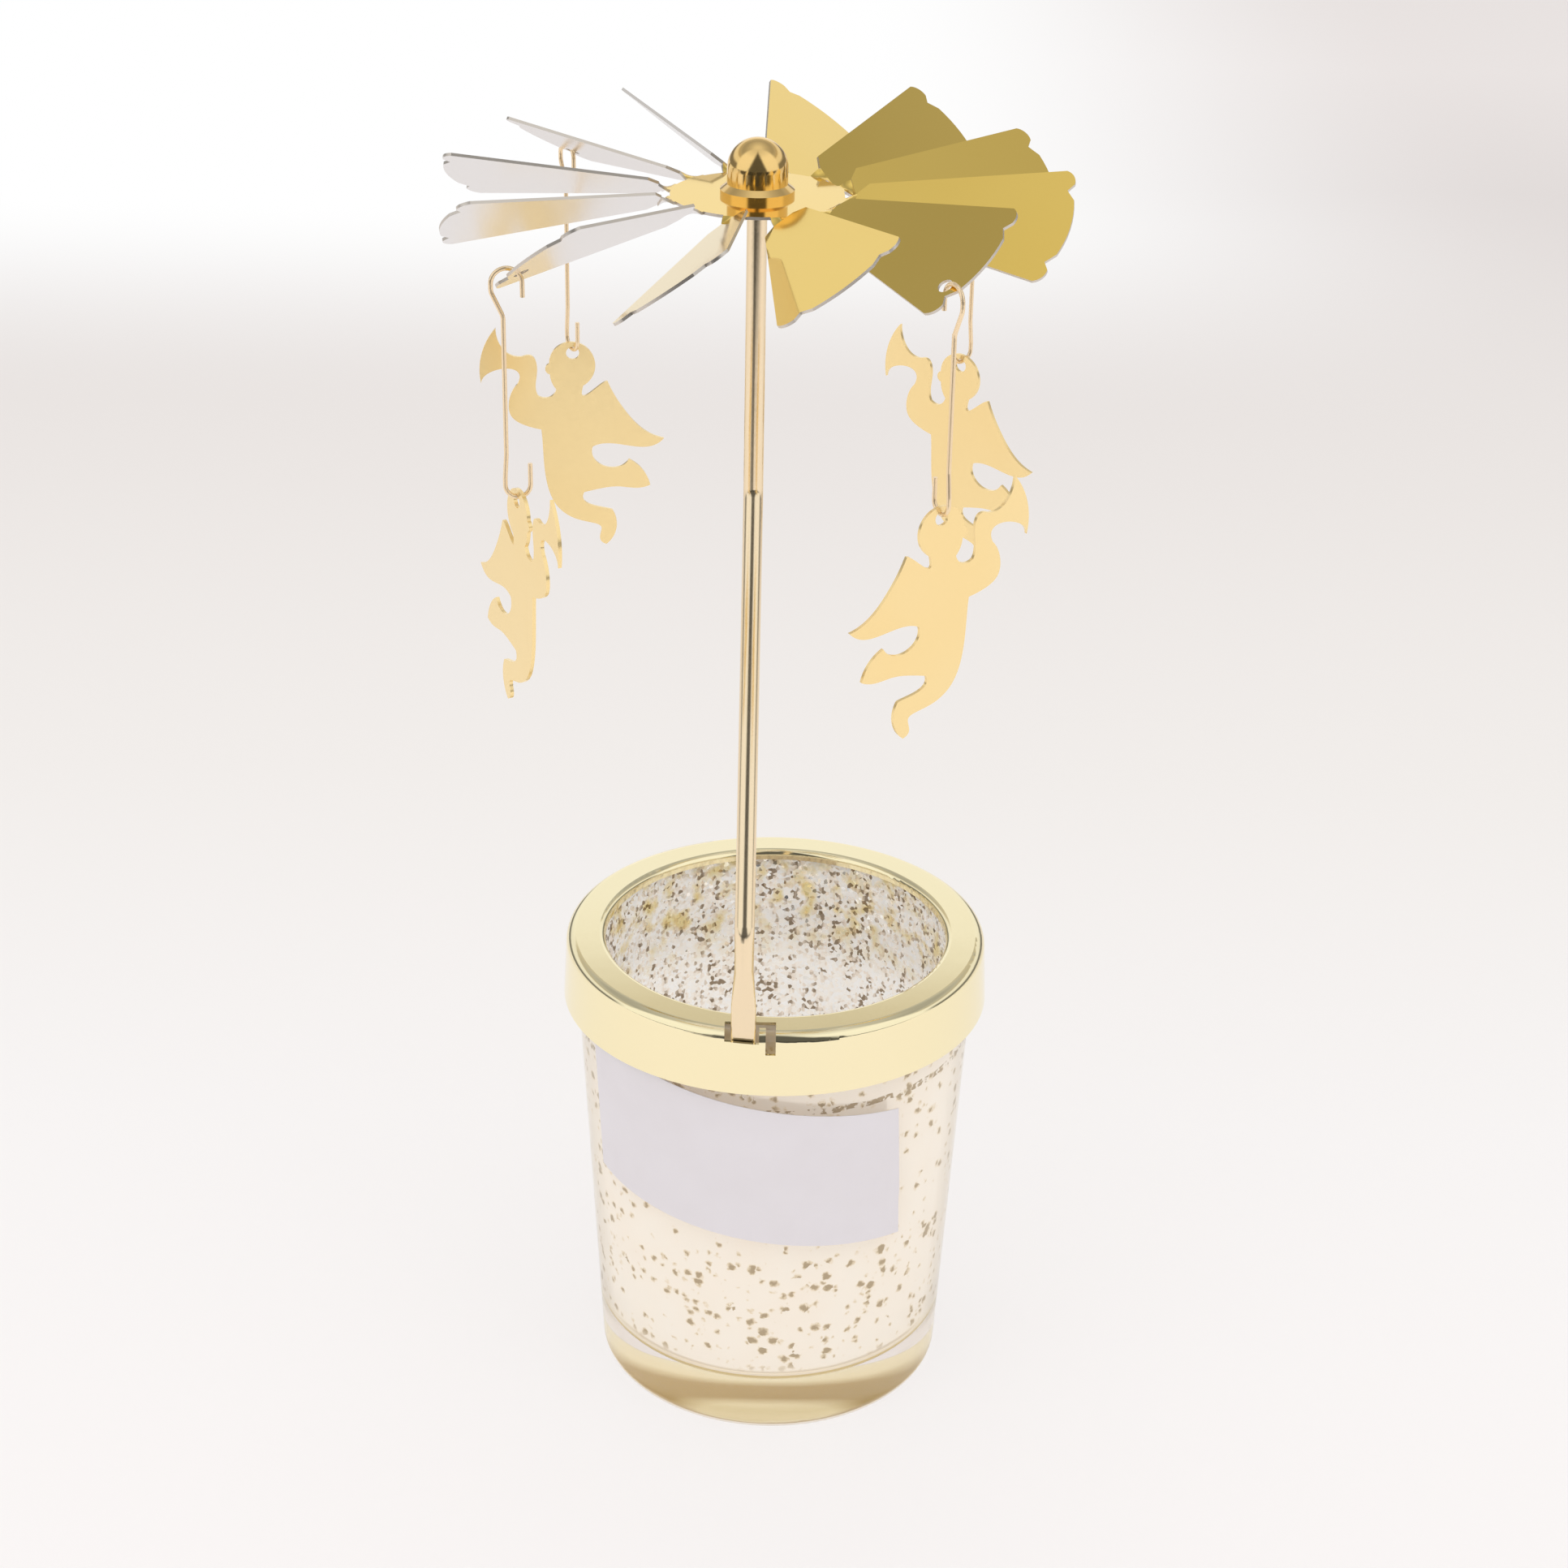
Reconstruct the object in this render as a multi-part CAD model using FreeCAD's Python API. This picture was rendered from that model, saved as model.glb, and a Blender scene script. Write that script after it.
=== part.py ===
import FreeCAD, Part
import math
import os

# Angel carousel for a tealight. A tapered glass cup holds the candle. A pressed collar rests on
# its rim and carries a bent wire stem, and a twelve-bladed fan turns on the stem's needle point.
# Four sheet figures hang from every third blade on wire hooks.
# Lengths are in millimetres and angles in degrees. The origin is the centre of the cup's foot on
# the table, +Z is up and the stem stands at the front, towards -Y.

Vector = FreeCAD.Vector
UP = Vector(0, 0, 1)
ORIGIN = Vector(0, 0, 0)

# Glass cup
CUP_HEIGHT = 70.9
CUP_FOOT_RADIUS = 25.6
CUP_BAND_RADIUS = 28.9
CUP_BAND_HEIGHT = 10.4
CUP_WALL = 2.6
CUP_FLOOR = 8.2
CUP_FOOT_ROUNDING = 2.2
CUP_WELL_ROUNDING = 2.5
CUP_RIM_ROUNDING = 0.9

# Pressed collar on the cup's rim
COLLAR_SHEET = 0.45
COLLAR_REACH = 4.0
COLLAR_DEPTH = 9.5
COLLAR_FLARE = 0.5
COLLAR_CORNER_ROUNDING = 1.4
COLLAR_LIP_DEPTH = 1.5
COLLAR_LIP_ROUNDING = 0.85
NOTCH_LEFT_WIDTH = 2.6
NOTCH_RIGHT_WIDTH = 4.5
NOTCH_REACH = 3.4
NOTCH_DEPTH = 1.6
SLIT_WIDTH = 1.4
SLIT_DEPTH = 3.2
FINGER_WIDTH = 0.9

# Wire stem
STEM_DIAMETER = 2.7
STEM_OFFSET = 4.15
STEM_FOOT_WIDTH = 3.5
STEM_FOOT_THICKNESS = 0.8
STEM_FOOT_CLEARANCE = 0.18
STEM_FOOT_DEPTH = 4.6
STEM_FLAT_HEIGHT = 3.5
STEM_SWELL_HEIGHT = 9.5
STEM_LOW_BEND_HEIGHT = 15.0
STEM_KINK_HEIGHT = 67.7
STEM_BEND_RADIUS = 3.2
NEEDLE_LENGTH = 9.0
NEEDLE_TIP_RADIUS = 0.15

# Fan of twisted blades, pressed from one sheet
FAN_HEIGHT = 109.1
FAN_SHEET = 0.4
HUB_RADIUS = 11.45
HUB_HOLE_RADIUS = 2.4
BLADE_COUNT = 12
FIRST_BLADE_TURN = 16.46
BLADE_PITCH = 36.4
BLADE_DROOP = 1.5
NECK_TAB = 0.2
NECK_LENGTH = 1.5
NECK_HALF_WIDTH = 1.5
TIP_RADIUS = 42.0
ROOT_RADIUS_SHARE = 0.34
ROOT_WIDTH_SHARE = 0.076
CORNER_SHARES = ((0.936, 0.213), (0.962, 0.196), (0.972, 0.165))
NOTCH_SHARE = (0.956, 0.138)
LOBE_SHARE = (0.985, 0.105)
HOOK_HOLE_RADIUS = 1.0
HOOK_HOLE_SHARE = (0.929, -0.105)

# How far each blade, bent by hand, strays from the regular fan: turned aside, pitched, drooped
BLADE_BENDS = (
    (4.5, 2.5, 1.0),
    (3.0, 3.5, -3.5),
    (2.0, -2.5, -3.0),
    (4.5, 3.0, -1.0),
    (1.5, -8.0, -2.0),
    (5.5, -6.5, -2.0),
    (1.0, -5.0, 1.5),
    (2.5, -1.0, -0.5),
    (-1.0, 0.0, 1.5),
    (-1.5, -2.0, -0.5),
    (-6.0, 0.0, -1.5),
    (-6.0, 0.0, -1.0),
)

# Dome cap over the needle
DOME_RADIUS = 4.0
DOME_HEIGHT = 7.4
DOME_SHEET = 0.45
DOME_RIM_RADIUS = 4.9
DOME_RIM_THICKNESS = 0.7
DIMPLE_RADIUS = 0.6
DIMPLE_DEPTH = 0.2
PIVOT_CLEARANCE = 0.12

# Wire hooks
WIRE_DIAMETER = 0.6
HOOK_LENGTH = 29.9
HOOK_TOP_RADIUS = 1.95
HOOK_LOW_RADIUS = 1.6
HOOK_LEG_LENGTH = 1.8
HOOK_END_LENGTH = 2.8
HOOK_JOG_LENGTH = 4.2
HOOK_JOG_RADIUS = 2.0
HOOK_SHANK_SIDE = 0.5
HOOK_LEG_INSET = 0.15
HOOK_BITE = 2.2
HOOK_CLEARANCE = 0.12

# Sheet figures
ANGEL_HEIGHT = 31.0
ANGEL_SHEET = 0.5
ANGEL_HOLE_RADIUS = 0.95
ANGEL_CLEARANCE = 0.12

# One overrun serves all cuts, and one match serves all comparisons of places
OVERRUN = 2.0
MATCH = 0.0001

# Which blade each hanger uses, how its hook is turned from that blade's line on the regular fan,
# and how far its figure is turned from square to the hook
HANGERS = (
    ("rear_right", 1, -10.0, 15.0),
    ("rear_left", 4, -14.5, -26.0),
    ("front_left", 7, -36.0, 17.0),
    ("front_right", 10, -14.5, -1.0),
)

# Outline of the figure as shares of its height, forward and up from its hanging hole. It flies
# with its horn ahead, and its wing and two legs behind. Two points make a straight stretch and
# three make an arc. More make a smooth curve.
ANGEL_STRETCH_SHARES = (
    ((0.000, 0.052), (-0.109, -0.058), (-0.058, -0.155)),
    ((-0.058, -0.155), (-0.062, -0.205), (-0.110, -0.172), (-0.171, -0.129)),
    ((-0.171, -0.129), (-0.205, -0.190), (-0.262, -0.268), (-0.348, -0.352), (-0.452, -0.394)),
    ((-0.452, -0.394), (-0.403, -0.432), (-0.268, -0.436), (-0.120, -0.452)),
    ((-0.120, -0.452), (-0.126, -0.506), (-0.195, -0.552), (-0.262, -0.541), (-0.294, -0.506)),
    ((-0.294, -0.506), (-0.352, -0.545), (-0.403, -0.629)),
    ((-0.403, -0.629), (-0.335, -0.648), (-0.252, -0.645), (-0.158, -0.662), (-0.092, -0.682)),
    ((-0.092, -0.682), (-0.090, -0.716), (-0.158, -0.752), (-0.232, -0.765)),
    ((-0.232, -0.765), (-0.254, -0.868), (-0.213, -0.939)),
    ((-0.213, -0.939), (-0.180, -0.900), (-0.184, -0.855), (-0.129, -0.832), (-0.048, -0.813),
     (0.019, -0.771), (0.090, -0.629), (0.110, -0.506), (0.126, -0.380)),
    ((0.126, -0.380), (0.206, -0.362), (0.271, -0.319), (0.284, -0.265), (0.248, -0.165)),
    ((0.248, -0.165), (0.248, -0.106), (0.335, -0.096), (0.416, -0.171)),
    ((0.416, -0.171), (0.421, -0.030), (0.361, 0.100)),
    ((0.361, 0.100), (0.345, 0.035), (0.300, -0.018), (0.232, -0.030)),
    ((0.232, -0.030), (0.180, -0.030), (0.160, -0.090), (0.163, -0.165), (0.150, -0.215)),
    ((0.150, -0.215), (0.100, -0.222), (0.066, -0.180)),
    ((0.066, -0.180), (0.092, -0.140), (0.100, -0.108)),
    ((0.100, -0.108), (0.122, -0.088), (0.106, -0.058)),
    ((0.106, -0.058), (0.079, 0.020), (0.000, 0.052)),
)

# Heights and radii that several pieces share
COLLAR_TOP = CUP_HEIGHT + COLLAR_SHEET
MOUTH_RADIUS = CUP_BAND_RADIUS - COLLAR_REACH
SKIRT_RADIUS = CUP_BAND_RADIUS + STEM_FOOT_THICKNESS + 2 * STEM_FOOT_CLEARANCE
FOOT_CENTRE_RADIUS = CUP_BAND_RADIUS + STEM_FOOT_CLEARANCE + STEM_FOOT_THICKNESS / 2
STEM_X = -STEM_OFFSET
FOOT_Y = -math.sqrt(FOOT_CENTRE_RADIUS ** 2 - STEM_X ** 2)
FOOT_TURN = math.degrees(math.asin(STEM_X / FOOT_CENTRE_RADIUS))
FAN_AXIS = Vector(STEM_X, 0, 0)
HUB_TOP = COLLAR_TOP + FAN_HEIGHT
HUB_MIDDLE = HUB_TOP - FAN_SHEET / 2
NECK_END = HUB_RADIUS + NECK_TAB + NECK_LENGTH
WIRE_RADIUS = WIRE_DIAMETER / 2
DOME_CROWN = HUB_TOP + DOME_HEIGHT - DOME_SHEET + DIMPLE_DEPTH


def section(outline):
    """Face from a closed list of (radius, height) corners in the XZ plane."""
    points = [Vector(radius, 0, height) for radius, height in outline]
    return Part.Face(Part.makePolygon(points + points[:1]))


def turned(face):
    """Solid of revolution of a face about the Z axis."""
    return face.revolve(ORIGIN, UP, 360)


def circles_at(shape, radius, height):
    """Round edges of a revolved shape at one radius and height."""
    def fits(edge):
        """Whether the edge is that circle."""
        centre = edge.Curve.Center if isinstance(edge.Curve, Part.Circle) else None
        return (centre is not None and math.isclose(edge.Curve.Radius, radius, abs_tol=MATCH)
                and math.isclose(centre.z, height, abs_tol=MATCH))
    return [edge for edge in shape.Edges if fits(edge)]


def rounded_wire(corners):
    """Wire of straight runs through (point, rounding) corners, joined by tangent arcs."""
    edges = []
    cursor = corners[0][0]
    for index in range(1, len(corners) - 1):
        corner, rounding = corners[index]
        inward = (corner - corners[index - 1][0]).normalize()
        outward = (corners[index + 1][0] - corner).normalize()
        half_turn = inward.getAngle(outward) / 2
        reach = rounding * math.tan(half_turn)
        start = corner - inward * reach
        end = corner + outward * reach
        bisector = (outward - inward).normalize()
        middle = corner + bisector * (rounding / math.cos(half_turn) - rounding)
        if (start - cursor).Length > MATCH:
            edges.append(Part.LineSegment(cursor, start).toShape())
        edges.append(Part.Arc(start, middle, end).toShape())
        cursor = end
    edges.append(Part.LineSegment(cursor, corners[-1][0]).toShape())
    return Part.Wire(edges)


def wire_solid(corners, radius):
    """Round wire of one radius along rounded corners."""
    path = rounded_wire(corners)
    start = corners[0][0]
    direction = corners[1][0] - start
    ring = Part.Wire(Part.Circle(start, direction, radius).toShape())
    return path.makePipeShell([ring], True, False)


def stretch(points):
    """Edge through the points: a line for two, an arc for three and a smooth curve for more."""
    if len(points) == 2:
        return Part.LineSegment(*points).toShape()
    if len(points) == 3:
        return Part.Arc(*points).toShape()
    curve = Part.BSplineCurve()
    curve.interpolate(points)
    return curve.toShape()


def glass_cup():
    """Tapered cup with a thick clear base and a straight band at the rim."""
    band_foot = CUP_HEIGHT - CUP_BAND_HEIGHT
    slope = (CUP_BAND_RADIUS - CUP_FOOT_RADIUS) / band_foot
    floor_radius = CUP_FOOT_RADIUS + slope * CUP_FLOOR - CUP_WALL
    mouth_radius = CUP_BAND_RADIUS - CUP_WALL
    body = turned(section([
        (0, 0), (CUP_FOOT_RADIUS, 0), (CUP_BAND_RADIUS, band_foot), (CUP_BAND_RADIUS, CUP_HEIGHT),
        (0, CUP_HEIGHT)]))
    body = body.makeFillet(CUP_FOOT_ROUNDING, circles_at(body, CUP_FOOT_RADIUS, 0))
    well = turned(section([
        (0, CUP_FLOOR), (floor_radius, CUP_FLOOR), (mouth_radius, band_foot),
        (mouth_radius, CUP_HEIGHT + OVERRUN), (0, CUP_HEIGHT + OVERRUN)]))
    well = well.makeFillet(CUP_WELL_ROUNDING, circles_at(well, floor_radius, CUP_FLOOR))
    cup = body.cut(well)
    rim = circles_at(cup, CUP_BAND_RADIUS, CUP_HEIGHT) + circles_at(cup, mouth_radius, CUP_HEIGHT)
    return cup.makeFillet(CUP_RIM_ROUNDING, rim)


def collar_blank():
    """Collar before its notch is cut: lip, flat top, rounded corner and flared skirt."""
    hem = COLLAR_TOP - COLLAR_DEPTH
    lip_foot = COLLAR_TOP - COLLAR_LIP_DEPTH
    outer = SKIRT_RADIUS + COLLAR_SHEET
    shell = turned(section([
        (MOUTH_RADIUS, lip_foot), (MOUTH_RADIUS, COLLAR_TOP), (outer, COLLAR_TOP),
        (outer + COLLAR_FLARE, hem), (SKIRT_RADIUS + COLLAR_FLARE, hem),
        (SKIRT_RADIUS, COLLAR_TOP - COLLAR_SHEET),
        (MOUTH_RADIUS + COLLAR_SHEET, COLLAR_TOP - COLLAR_SHEET),
        (MOUTH_RADIUS + COLLAR_SHEET, lip_foot)]))
    shell = shell.makeFillet(COLLAR_CORNER_ROUNDING, circles_at(shell, outer, COLLAR_TOP))
    shell = shell.makeFillet(COLLAR_CORNER_ROUNDING - COLLAR_SHEET,
                             circles_at(shell, SKIRT_RADIUS, COLLAR_TOP - COLLAR_SHEET))
    shell = shell.makeFillet(COLLAR_LIP_ROUNDING, circles_at(shell, MOUTH_RADIUS, COLLAR_TOP))
    lip_inside = circles_at(shell, MOUTH_RADIUS + COLLAR_SHEET, COLLAR_TOP - COLLAR_SHEET)
    return shell.makeFillet(COLLAR_LIP_ROUNDING - COLLAR_SHEET, lip_inside)


def front_block(left, right, inner, depth):
    """Cutting block at the collar's front corner, between two sides, out from one radius."""
    outside = SKIRT_RADIUS + COLLAR_FLARE + OVERRUN
    return Part.makeBox(right - left, outside - inner, depth + OVERRUN,
                        Vector(left, -outside, COLLAR_TOP - depth))


def collar_ring():
    """Pressed collar with the notch that the stem's foot passes through."""
    left = STEM_X - NOTCH_LEFT_WIDTH
    right = STEM_X + NOTCH_RIGHT_WIDTH
    slit_left = right - SLIT_WIDTH
    finger_left = slit_left - FINGER_WIDTH
    inner = SKIRT_RADIUS + COLLAR_SHEET - NOTCH_REACH
    notch = front_block(left, finger_left, inner, NOTCH_DEPTH)
    slit = front_block(slit_left, right, inner, SLIT_DEPTH)
    behind_finger = Part.makeBox(
        FINGER_WIDTH + OVERRUN, SKIRT_RADIUS - COLLAR_CORNER_ROUNDING - inner,
        NOTCH_DEPTH + OVERRUN,
        Vector(finger_left - OVERRUN / 2, COLLAR_CORNER_ROUNDING - SKIRT_RADIUS,
               COLLAR_TOP - NOTCH_DEPTH))
    return collar_blank().cut([notch, slit, behind_finger])


def flat_section(height):
    """Section of the pressed foot: straight sides and round ends."""
    half_thickness = STEM_FOOT_THICKNESS / 2
    edge = STEM_FOOT_WIDTH / 2 - half_thickness
    corners = [Vector(edge, half_thickness, height), Vector(-edge, half_thickness, height),
               Vector(-edge, -half_thickness, height), Vector(edge, -half_thickness, height)]
    left = Vector(-STEM_FOOT_WIDTH / 2, 0, height)
    right = Vector(STEM_FOOT_WIDTH / 2, 0, height)
    return Part.Wire([
        Part.LineSegment(corners[0], corners[1]).toShape(),
        Part.Arc(corners[1], left, corners[2]).toShape(),
        Part.LineSegment(corners[2], corners[3]).toShape(),
        Part.Arc(corners[3], right, corners[0]).toShape()])


def round_section(height):
    """Section of the full wire in four arcs that match the pressed foot's sides."""
    radius = STEM_DIAMETER / 2
    corner = radius * math.sqrt(0.5)
    corners = [Vector(corner, corner, height), Vector(-corner, corner, height),
               Vector(-corner, -corner, height), Vector(corner, -corner, height)]
    middles = [Vector(0, radius, height), Vector(-radius, 0, height),
               Vector(0, -radius, height), Vector(radius, 0, height)]
    return Part.Wire([
        Part.Arc(corners[side], middles[side], corners[(side + 1) % 4]).toShape()
        for side in range(4)])


def stem():
    """Stem from the pressed foot in the collar to the needle point in the dome."""
    foot_low = COLLAR_TOP - STEM_FOOT_DEPTH
    flat_top = COLLAR_TOP + STEM_FLAT_HEIGHT
    swell_top = COLLAR_TOP + STEM_SWELL_HEIGHT
    foot = Part.makeLoft([flat_section(foot_low), flat_section(flat_top)], True, True)
    swell = Part.makeLoft([flat_section(flat_top), round_section(swell_top)], True, True)
    base = foot.fuse(swell)
    base.rotate(ORIGIN, UP, FOOT_TURN)
    base.translate(Vector(STEM_X, FOOT_Y, 0))
    needle_tip = DOME_CROWN - PIVOT_CLEARANCE
    needle_foot = needle_tip - NEEDLE_LENGTH
    rod = wire_solid([
        (Vector(STEM_X, FOOT_Y, swell_top), 0),
        (Vector(STEM_X, FOOT_Y, COLLAR_TOP + STEM_LOW_BEND_HEIGHT), STEM_BEND_RADIUS),
        (Vector(STEM_X, 0, COLLAR_TOP + STEM_KINK_HEIGHT), STEM_BEND_RADIUS),
        (Vector(STEM_X, 0, needle_foot), 0)], STEM_DIAMETER / 2)
    needle = Part.makeCone(STEM_DIAMETER / 2, NEEDLE_TIP_RADIUS, NEEDLE_LENGTH,
                           Vector(STEM_X, 0, needle_foot))
    return base.fuse([rod, needle])


def blade_outline():
    """Closed wire of one blade in the flat: neck end, root, straight sides and scalloped tip."""
    root = (TIP_RADIUS * ROOT_RADIUS_SHARE, TIP_RADIUS * ROOT_WIDTH_SHARE)
    corner = [(TIP_RADIUS * along, TIP_RADIUS * across) for along, across in CORNER_SHARES]
    notch = (TIP_RADIUS * NOTCH_SHARE[0], TIP_RADIUS * NOTCH_SHARE[1])
    lobe = (TIP_RADIUS * LOBE_SHARE[0], TIP_RADIUS * LOBE_SHARE[1])

    def at(place, side):
        """Point on one side of the blade's centre line."""
        return Vector(place[0], place[1] * side, 0)

    def half(side):
        """Edges of one side from the neck to the broad lobe."""
        return [
            stretch([at((NECK_END, NECK_HALF_WIDTH), side), at(root, side)]),
            stretch([at(root, side), at(corner[0], side)]),
            stretch([at(corner[0], side), at(corner[1], side), at(corner[2], side)]),
            stretch([at(corner[2], side), at(notch, side)]),
            stretch([at(notch, side), at(lobe, side)])]

    crown = stretch([at(lobe, 1), Vector(TIP_RADIUS, 0, 0), at(lobe, -1)])
    neck = stretch([at((NECK_END, NECK_HALF_WIDTH), 1), at((NECK_END, NECK_HALF_WIDTH), -1)])
    return Part.Wire(Part.__sortEdges__(half(1) + [crown] + half(-1) + [neck]))


def blade_placement(number, share):
    """Placement of a section that has taken a share of its blade's twist, droop and turn."""
    aside, pitch, droop = BLADE_BENDS[number]
    bend = FreeCAD.Rotation(UP, aside * share).multiply(
        FreeCAD.Rotation(Vector(0, 1, 0), (BLADE_DROOP + droop) * share))
    twist = FreeCAD.Rotation(Vector(1, 0, 0), (BLADE_PITCH + pitch) * share)
    edge = FreeCAD.Placement(Vector(HUB_RADIUS, 0, 0), FreeCAD.Rotation())
    return (edge.multiply(FreeCAD.Placement(ORIGIN, bend)).multiply(edge.inverse())
            .multiply(FreeCAD.Placement(ORIGIN, twist)))


def hub_placement(number):
    """Placement of a numbered blade on the hub."""
    turn = FIRST_BLADE_TURN + number * 360 / BLADE_COUNT
    return FreeCAD.Placement(Vector(FAN_AXIS.x, FAN_AXIS.y, HUB_MIDDLE), FreeCAD.Rotation(UP, turn))


def neck_section(number, radius, share):
    """Rectangle across a blade's neck at one radius, with a share of its twist."""
    corners = [Vector(radius, side * NECK_HALF_WIDTH, face * FAN_SHEET / 2)
               for side, face in ((-1, -1), (1, -1), (1, 1), (-1, 1))]
    wire = Part.makePolygon(corners + corners[:1])
    wire.Placement = blade_placement(number, share)
    return wire


def blade(number, pierced):
    """One blade with its twisted neck, pierced for a hook where it carries one."""
    plate = Part.Face(blade_outline()).extrude(UP * FAN_SHEET)
    plate.translate(UP * (-FAN_SHEET / 2))
    if pierced:
        hole = Part.makeCylinder(
            HOOK_HOLE_RADIUS, 2 * FAN_SHEET,
            Vector(TIP_RADIUS * HOOK_HOLE_SHARE[0], TIP_RADIUS * HOOK_HOLE_SHARE[1], -FAN_SHEET))
        plate = plate.cut(hole)
    plate.Placement = blade_placement(number, 1)
    tab_end = HUB_RADIUS + NECK_TAB
    sections = [neck_section(number, tab_end, 0),
                neck_section(number, (tab_end + NECK_END) / 2, 0.5),
                neck_section(number, NECK_END, 1)]
    neck = Part.makeLoft(sections, True, False)
    tab = Part.makeBox(HUB_RADIUS / 2, 2 * NECK_HALF_WIDTH, FAN_SHEET,
                       Vector(tab_end - HUB_RADIUS / 2, -NECK_HALF_WIDTH, -FAN_SHEET / 2))
    whole = plate.fuse([neck, tab])
    whole.Placement = hub_placement(number)
    return whole


def fan_rotor():
    """Hub disc and its blades, cut from one sheet."""
    foot = Vector(FAN_AXIS.x, FAN_AXIS.y, HUB_MIDDLE - FAN_SHEET / 2)
    disc = Part.makeCylinder(HUB_RADIUS, FAN_SHEET, foot)
    pierced = [number for _, number, _, _ in HANGERS]
    fan = disc.fuse([blade(number, number in pierced) for number in range(BLADE_COUNT)])
    hole = Part.makeCylinder(HUB_HOLE_RADIUS, FAN_SHEET + OVERRUN, foot - UP * (OVERRUN / 2))
    return fan.removeSplitter().cut(hole)


def dome_cap():
    """Round-topped cap on the hub, dimpled inside for the needle point."""
    inside = DOME_RADIUS - DOME_SHEET
    shoulder = HUB_TOP + DOME_HEIGHT - DOME_RADIUS
    lean = math.sqrt(0.5)
    crown = DOME_CROWN - DIMPLE_DEPTH

    def at(radius, height):
        """Point of the profile."""
        return Vector(radius, 0, height)

    rest = DIMPLE_RADIUS / inside
    dimple_edge = at(DIMPLE_RADIUS, shoulder + inside * math.sqrt(1 - rest ** 2))
    profile = [
        stretch([at(inside, HUB_TOP), at(DOME_RIM_RADIUS, HUB_TOP)]),
        stretch([at(DOME_RIM_RADIUS, HUB_TOP), at(DOME_RIM_RADIUS, HUB_TOP + DOME_RIM_THICKNESS)]),
        stretch([at(DOME_RIM_RADIUS, HUB_TOP + DOME_RIM_THICKNESS),
                 at(DOME_RADIUS, HUB_TOP + 2 * DOME_RIM_THICKNESS)]),
        stretch([at(DOME_RADIUS, HUB_TOP + 2 * DOME_RIM_THICKNESS), at(DOME_RADIUS, shoulder)]),
        stretch([at(DOME_RADIUS, shoulder),
                 at(DOME_RADIUS * lean, shoulder + DOME_RADIUS * lean),
                 at(0, shoulder + DOME_RADIUS)]),
        stretch([at(0, shoulder + DOME_RADIUS), at(0, crown + DIMPLE_DEPTH)]),
        stretch([at(0, crown + DIMPLE_DEPTH), dimple_edge]),
        stretch([dimple_edge, at(inside * lean, shoulder + inside * lean), at(inside, shoulder)]),
        stretch([at(inside, shoulder), at(inside, HUB_TOP)])]
    cap = turned(Part.Face(Part.Wire(profile)))
    cap.translate(FAN_AXIS)
    return cap


def sheet_slope(number, turn):
    """Rise of a blade's sheet per unit of level travel in one direction from its radius."""
    normal = hub_placement(number).Rotation.multVec(blade_placement(number, 1).Rotation.multVec(UP))
    heading = math.radians(FIRST_BLADE_TURN + number * 360 / BLADE_COUNT + turn)
    outward = Vector(math.cos(heading), math.sin(heading), 0)
    return outward, -normal.dot(outward) / normal.z, normal.z


def hook_seat(number, turn):
    """Where a hook hangs: centre of its top bend, its pivot and the level line it lies along."""
    hole = Vector(TIP_RADIUS * HOOK_HOLE_SHARE[0], TIP_RADIUS * HOOK_HOLE_SHARE[1], 0)
    hole = hub_placement(number).multVec(blade_placement(number, 1).multVec(hole))
    outward, slope, lift = sheet_slope(number, turn)
    rim = HOOK_HOLE_RADIUS / math.sqrt(1 + slope ** 2)
    centre_side = HOOK_TOP_RADIUS - HOOK_LEG_INSET
    inner = HOOK_TOP_RADIUS - WIRE_RADIUS

    def surface(side):
        """Top of the sheet at a level distance from the hole's centre."""
        return slope * side + FAN_SHEET / 2 / lift

    def lowest_centre(side):
        """Lowest height of the bend's centre that clears the sheet there."""
        return surface(side) + HOOK_CLEARANCE - math.sqrt(inner ** 2 - (side - centre_side) ** 2)

    contact = max((rim, HOOK_BITE), key=lowest_centre)
    centre = hole + outward * centre_side + UP * lowest_centre(contact)
    pivot = hole + outward * contact + UP * surface(contact)
    return centre, pivot, outward


def hook(number, turn):
    """Bent wire hook: a leg through the blade, a long shank and an open bend for the figure."""
    centre, pivot, outward = hook_seat(number, turn)
    low_side = (pivot - centre).dot(outward)
    top = HOOK_TOP_RADIUS
    low = top - HOOK_LENGTH
    low_centre = low + HOOK_LOW_RADIUS

    def at(side, height):
        """Point in the hook's own plane, from the centre of its top bend."""
        return centre + outward * side + UP * height

    return wire_solid([
        (at(-HOOK_TOP_RADIUS, -HOOK_LEG_LENGTH), 0),
        (at(-HOOK_TOP_RADIUS, top), HOOK_TOP_RADIUS),
        (at(HOOK_TOP_RADIUS, top), HOOK_TOP_RADIUS),
        (at(HOOK_TOP_RADIUS, -HOOK_JOG_RADIUS / 2), HOOK_JOG_RADIUS),
        (at(HOOK_SHANK_SIDE, -HOOK_JOG_LENGTH), HOOK_JOG_RADIUS),
        (at(HOOK_SHANK_SIDE, low_centre + HOOK_JOG_LENGTH), HOOK_JOG_RADIUS),
        (at(low_side + HOOK_LOW_RADIUS, low_centre + HOOK_JOG_RADIUS / 2), HOOK_JOG_RADIUS),
        (at(low_side + HOOK_LOW_RADIUS, low), HOOK_LOW_RADIUS),
        (at(low_side - HOOK_LOW_RADIUS, low), HOOK_LOW_RADIUS),
        (at(low_side - HOOK_LOW_RADIUS, low_centre + HOOK_END_LENGTH), 0)], WIRE_RADIUS)


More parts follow.
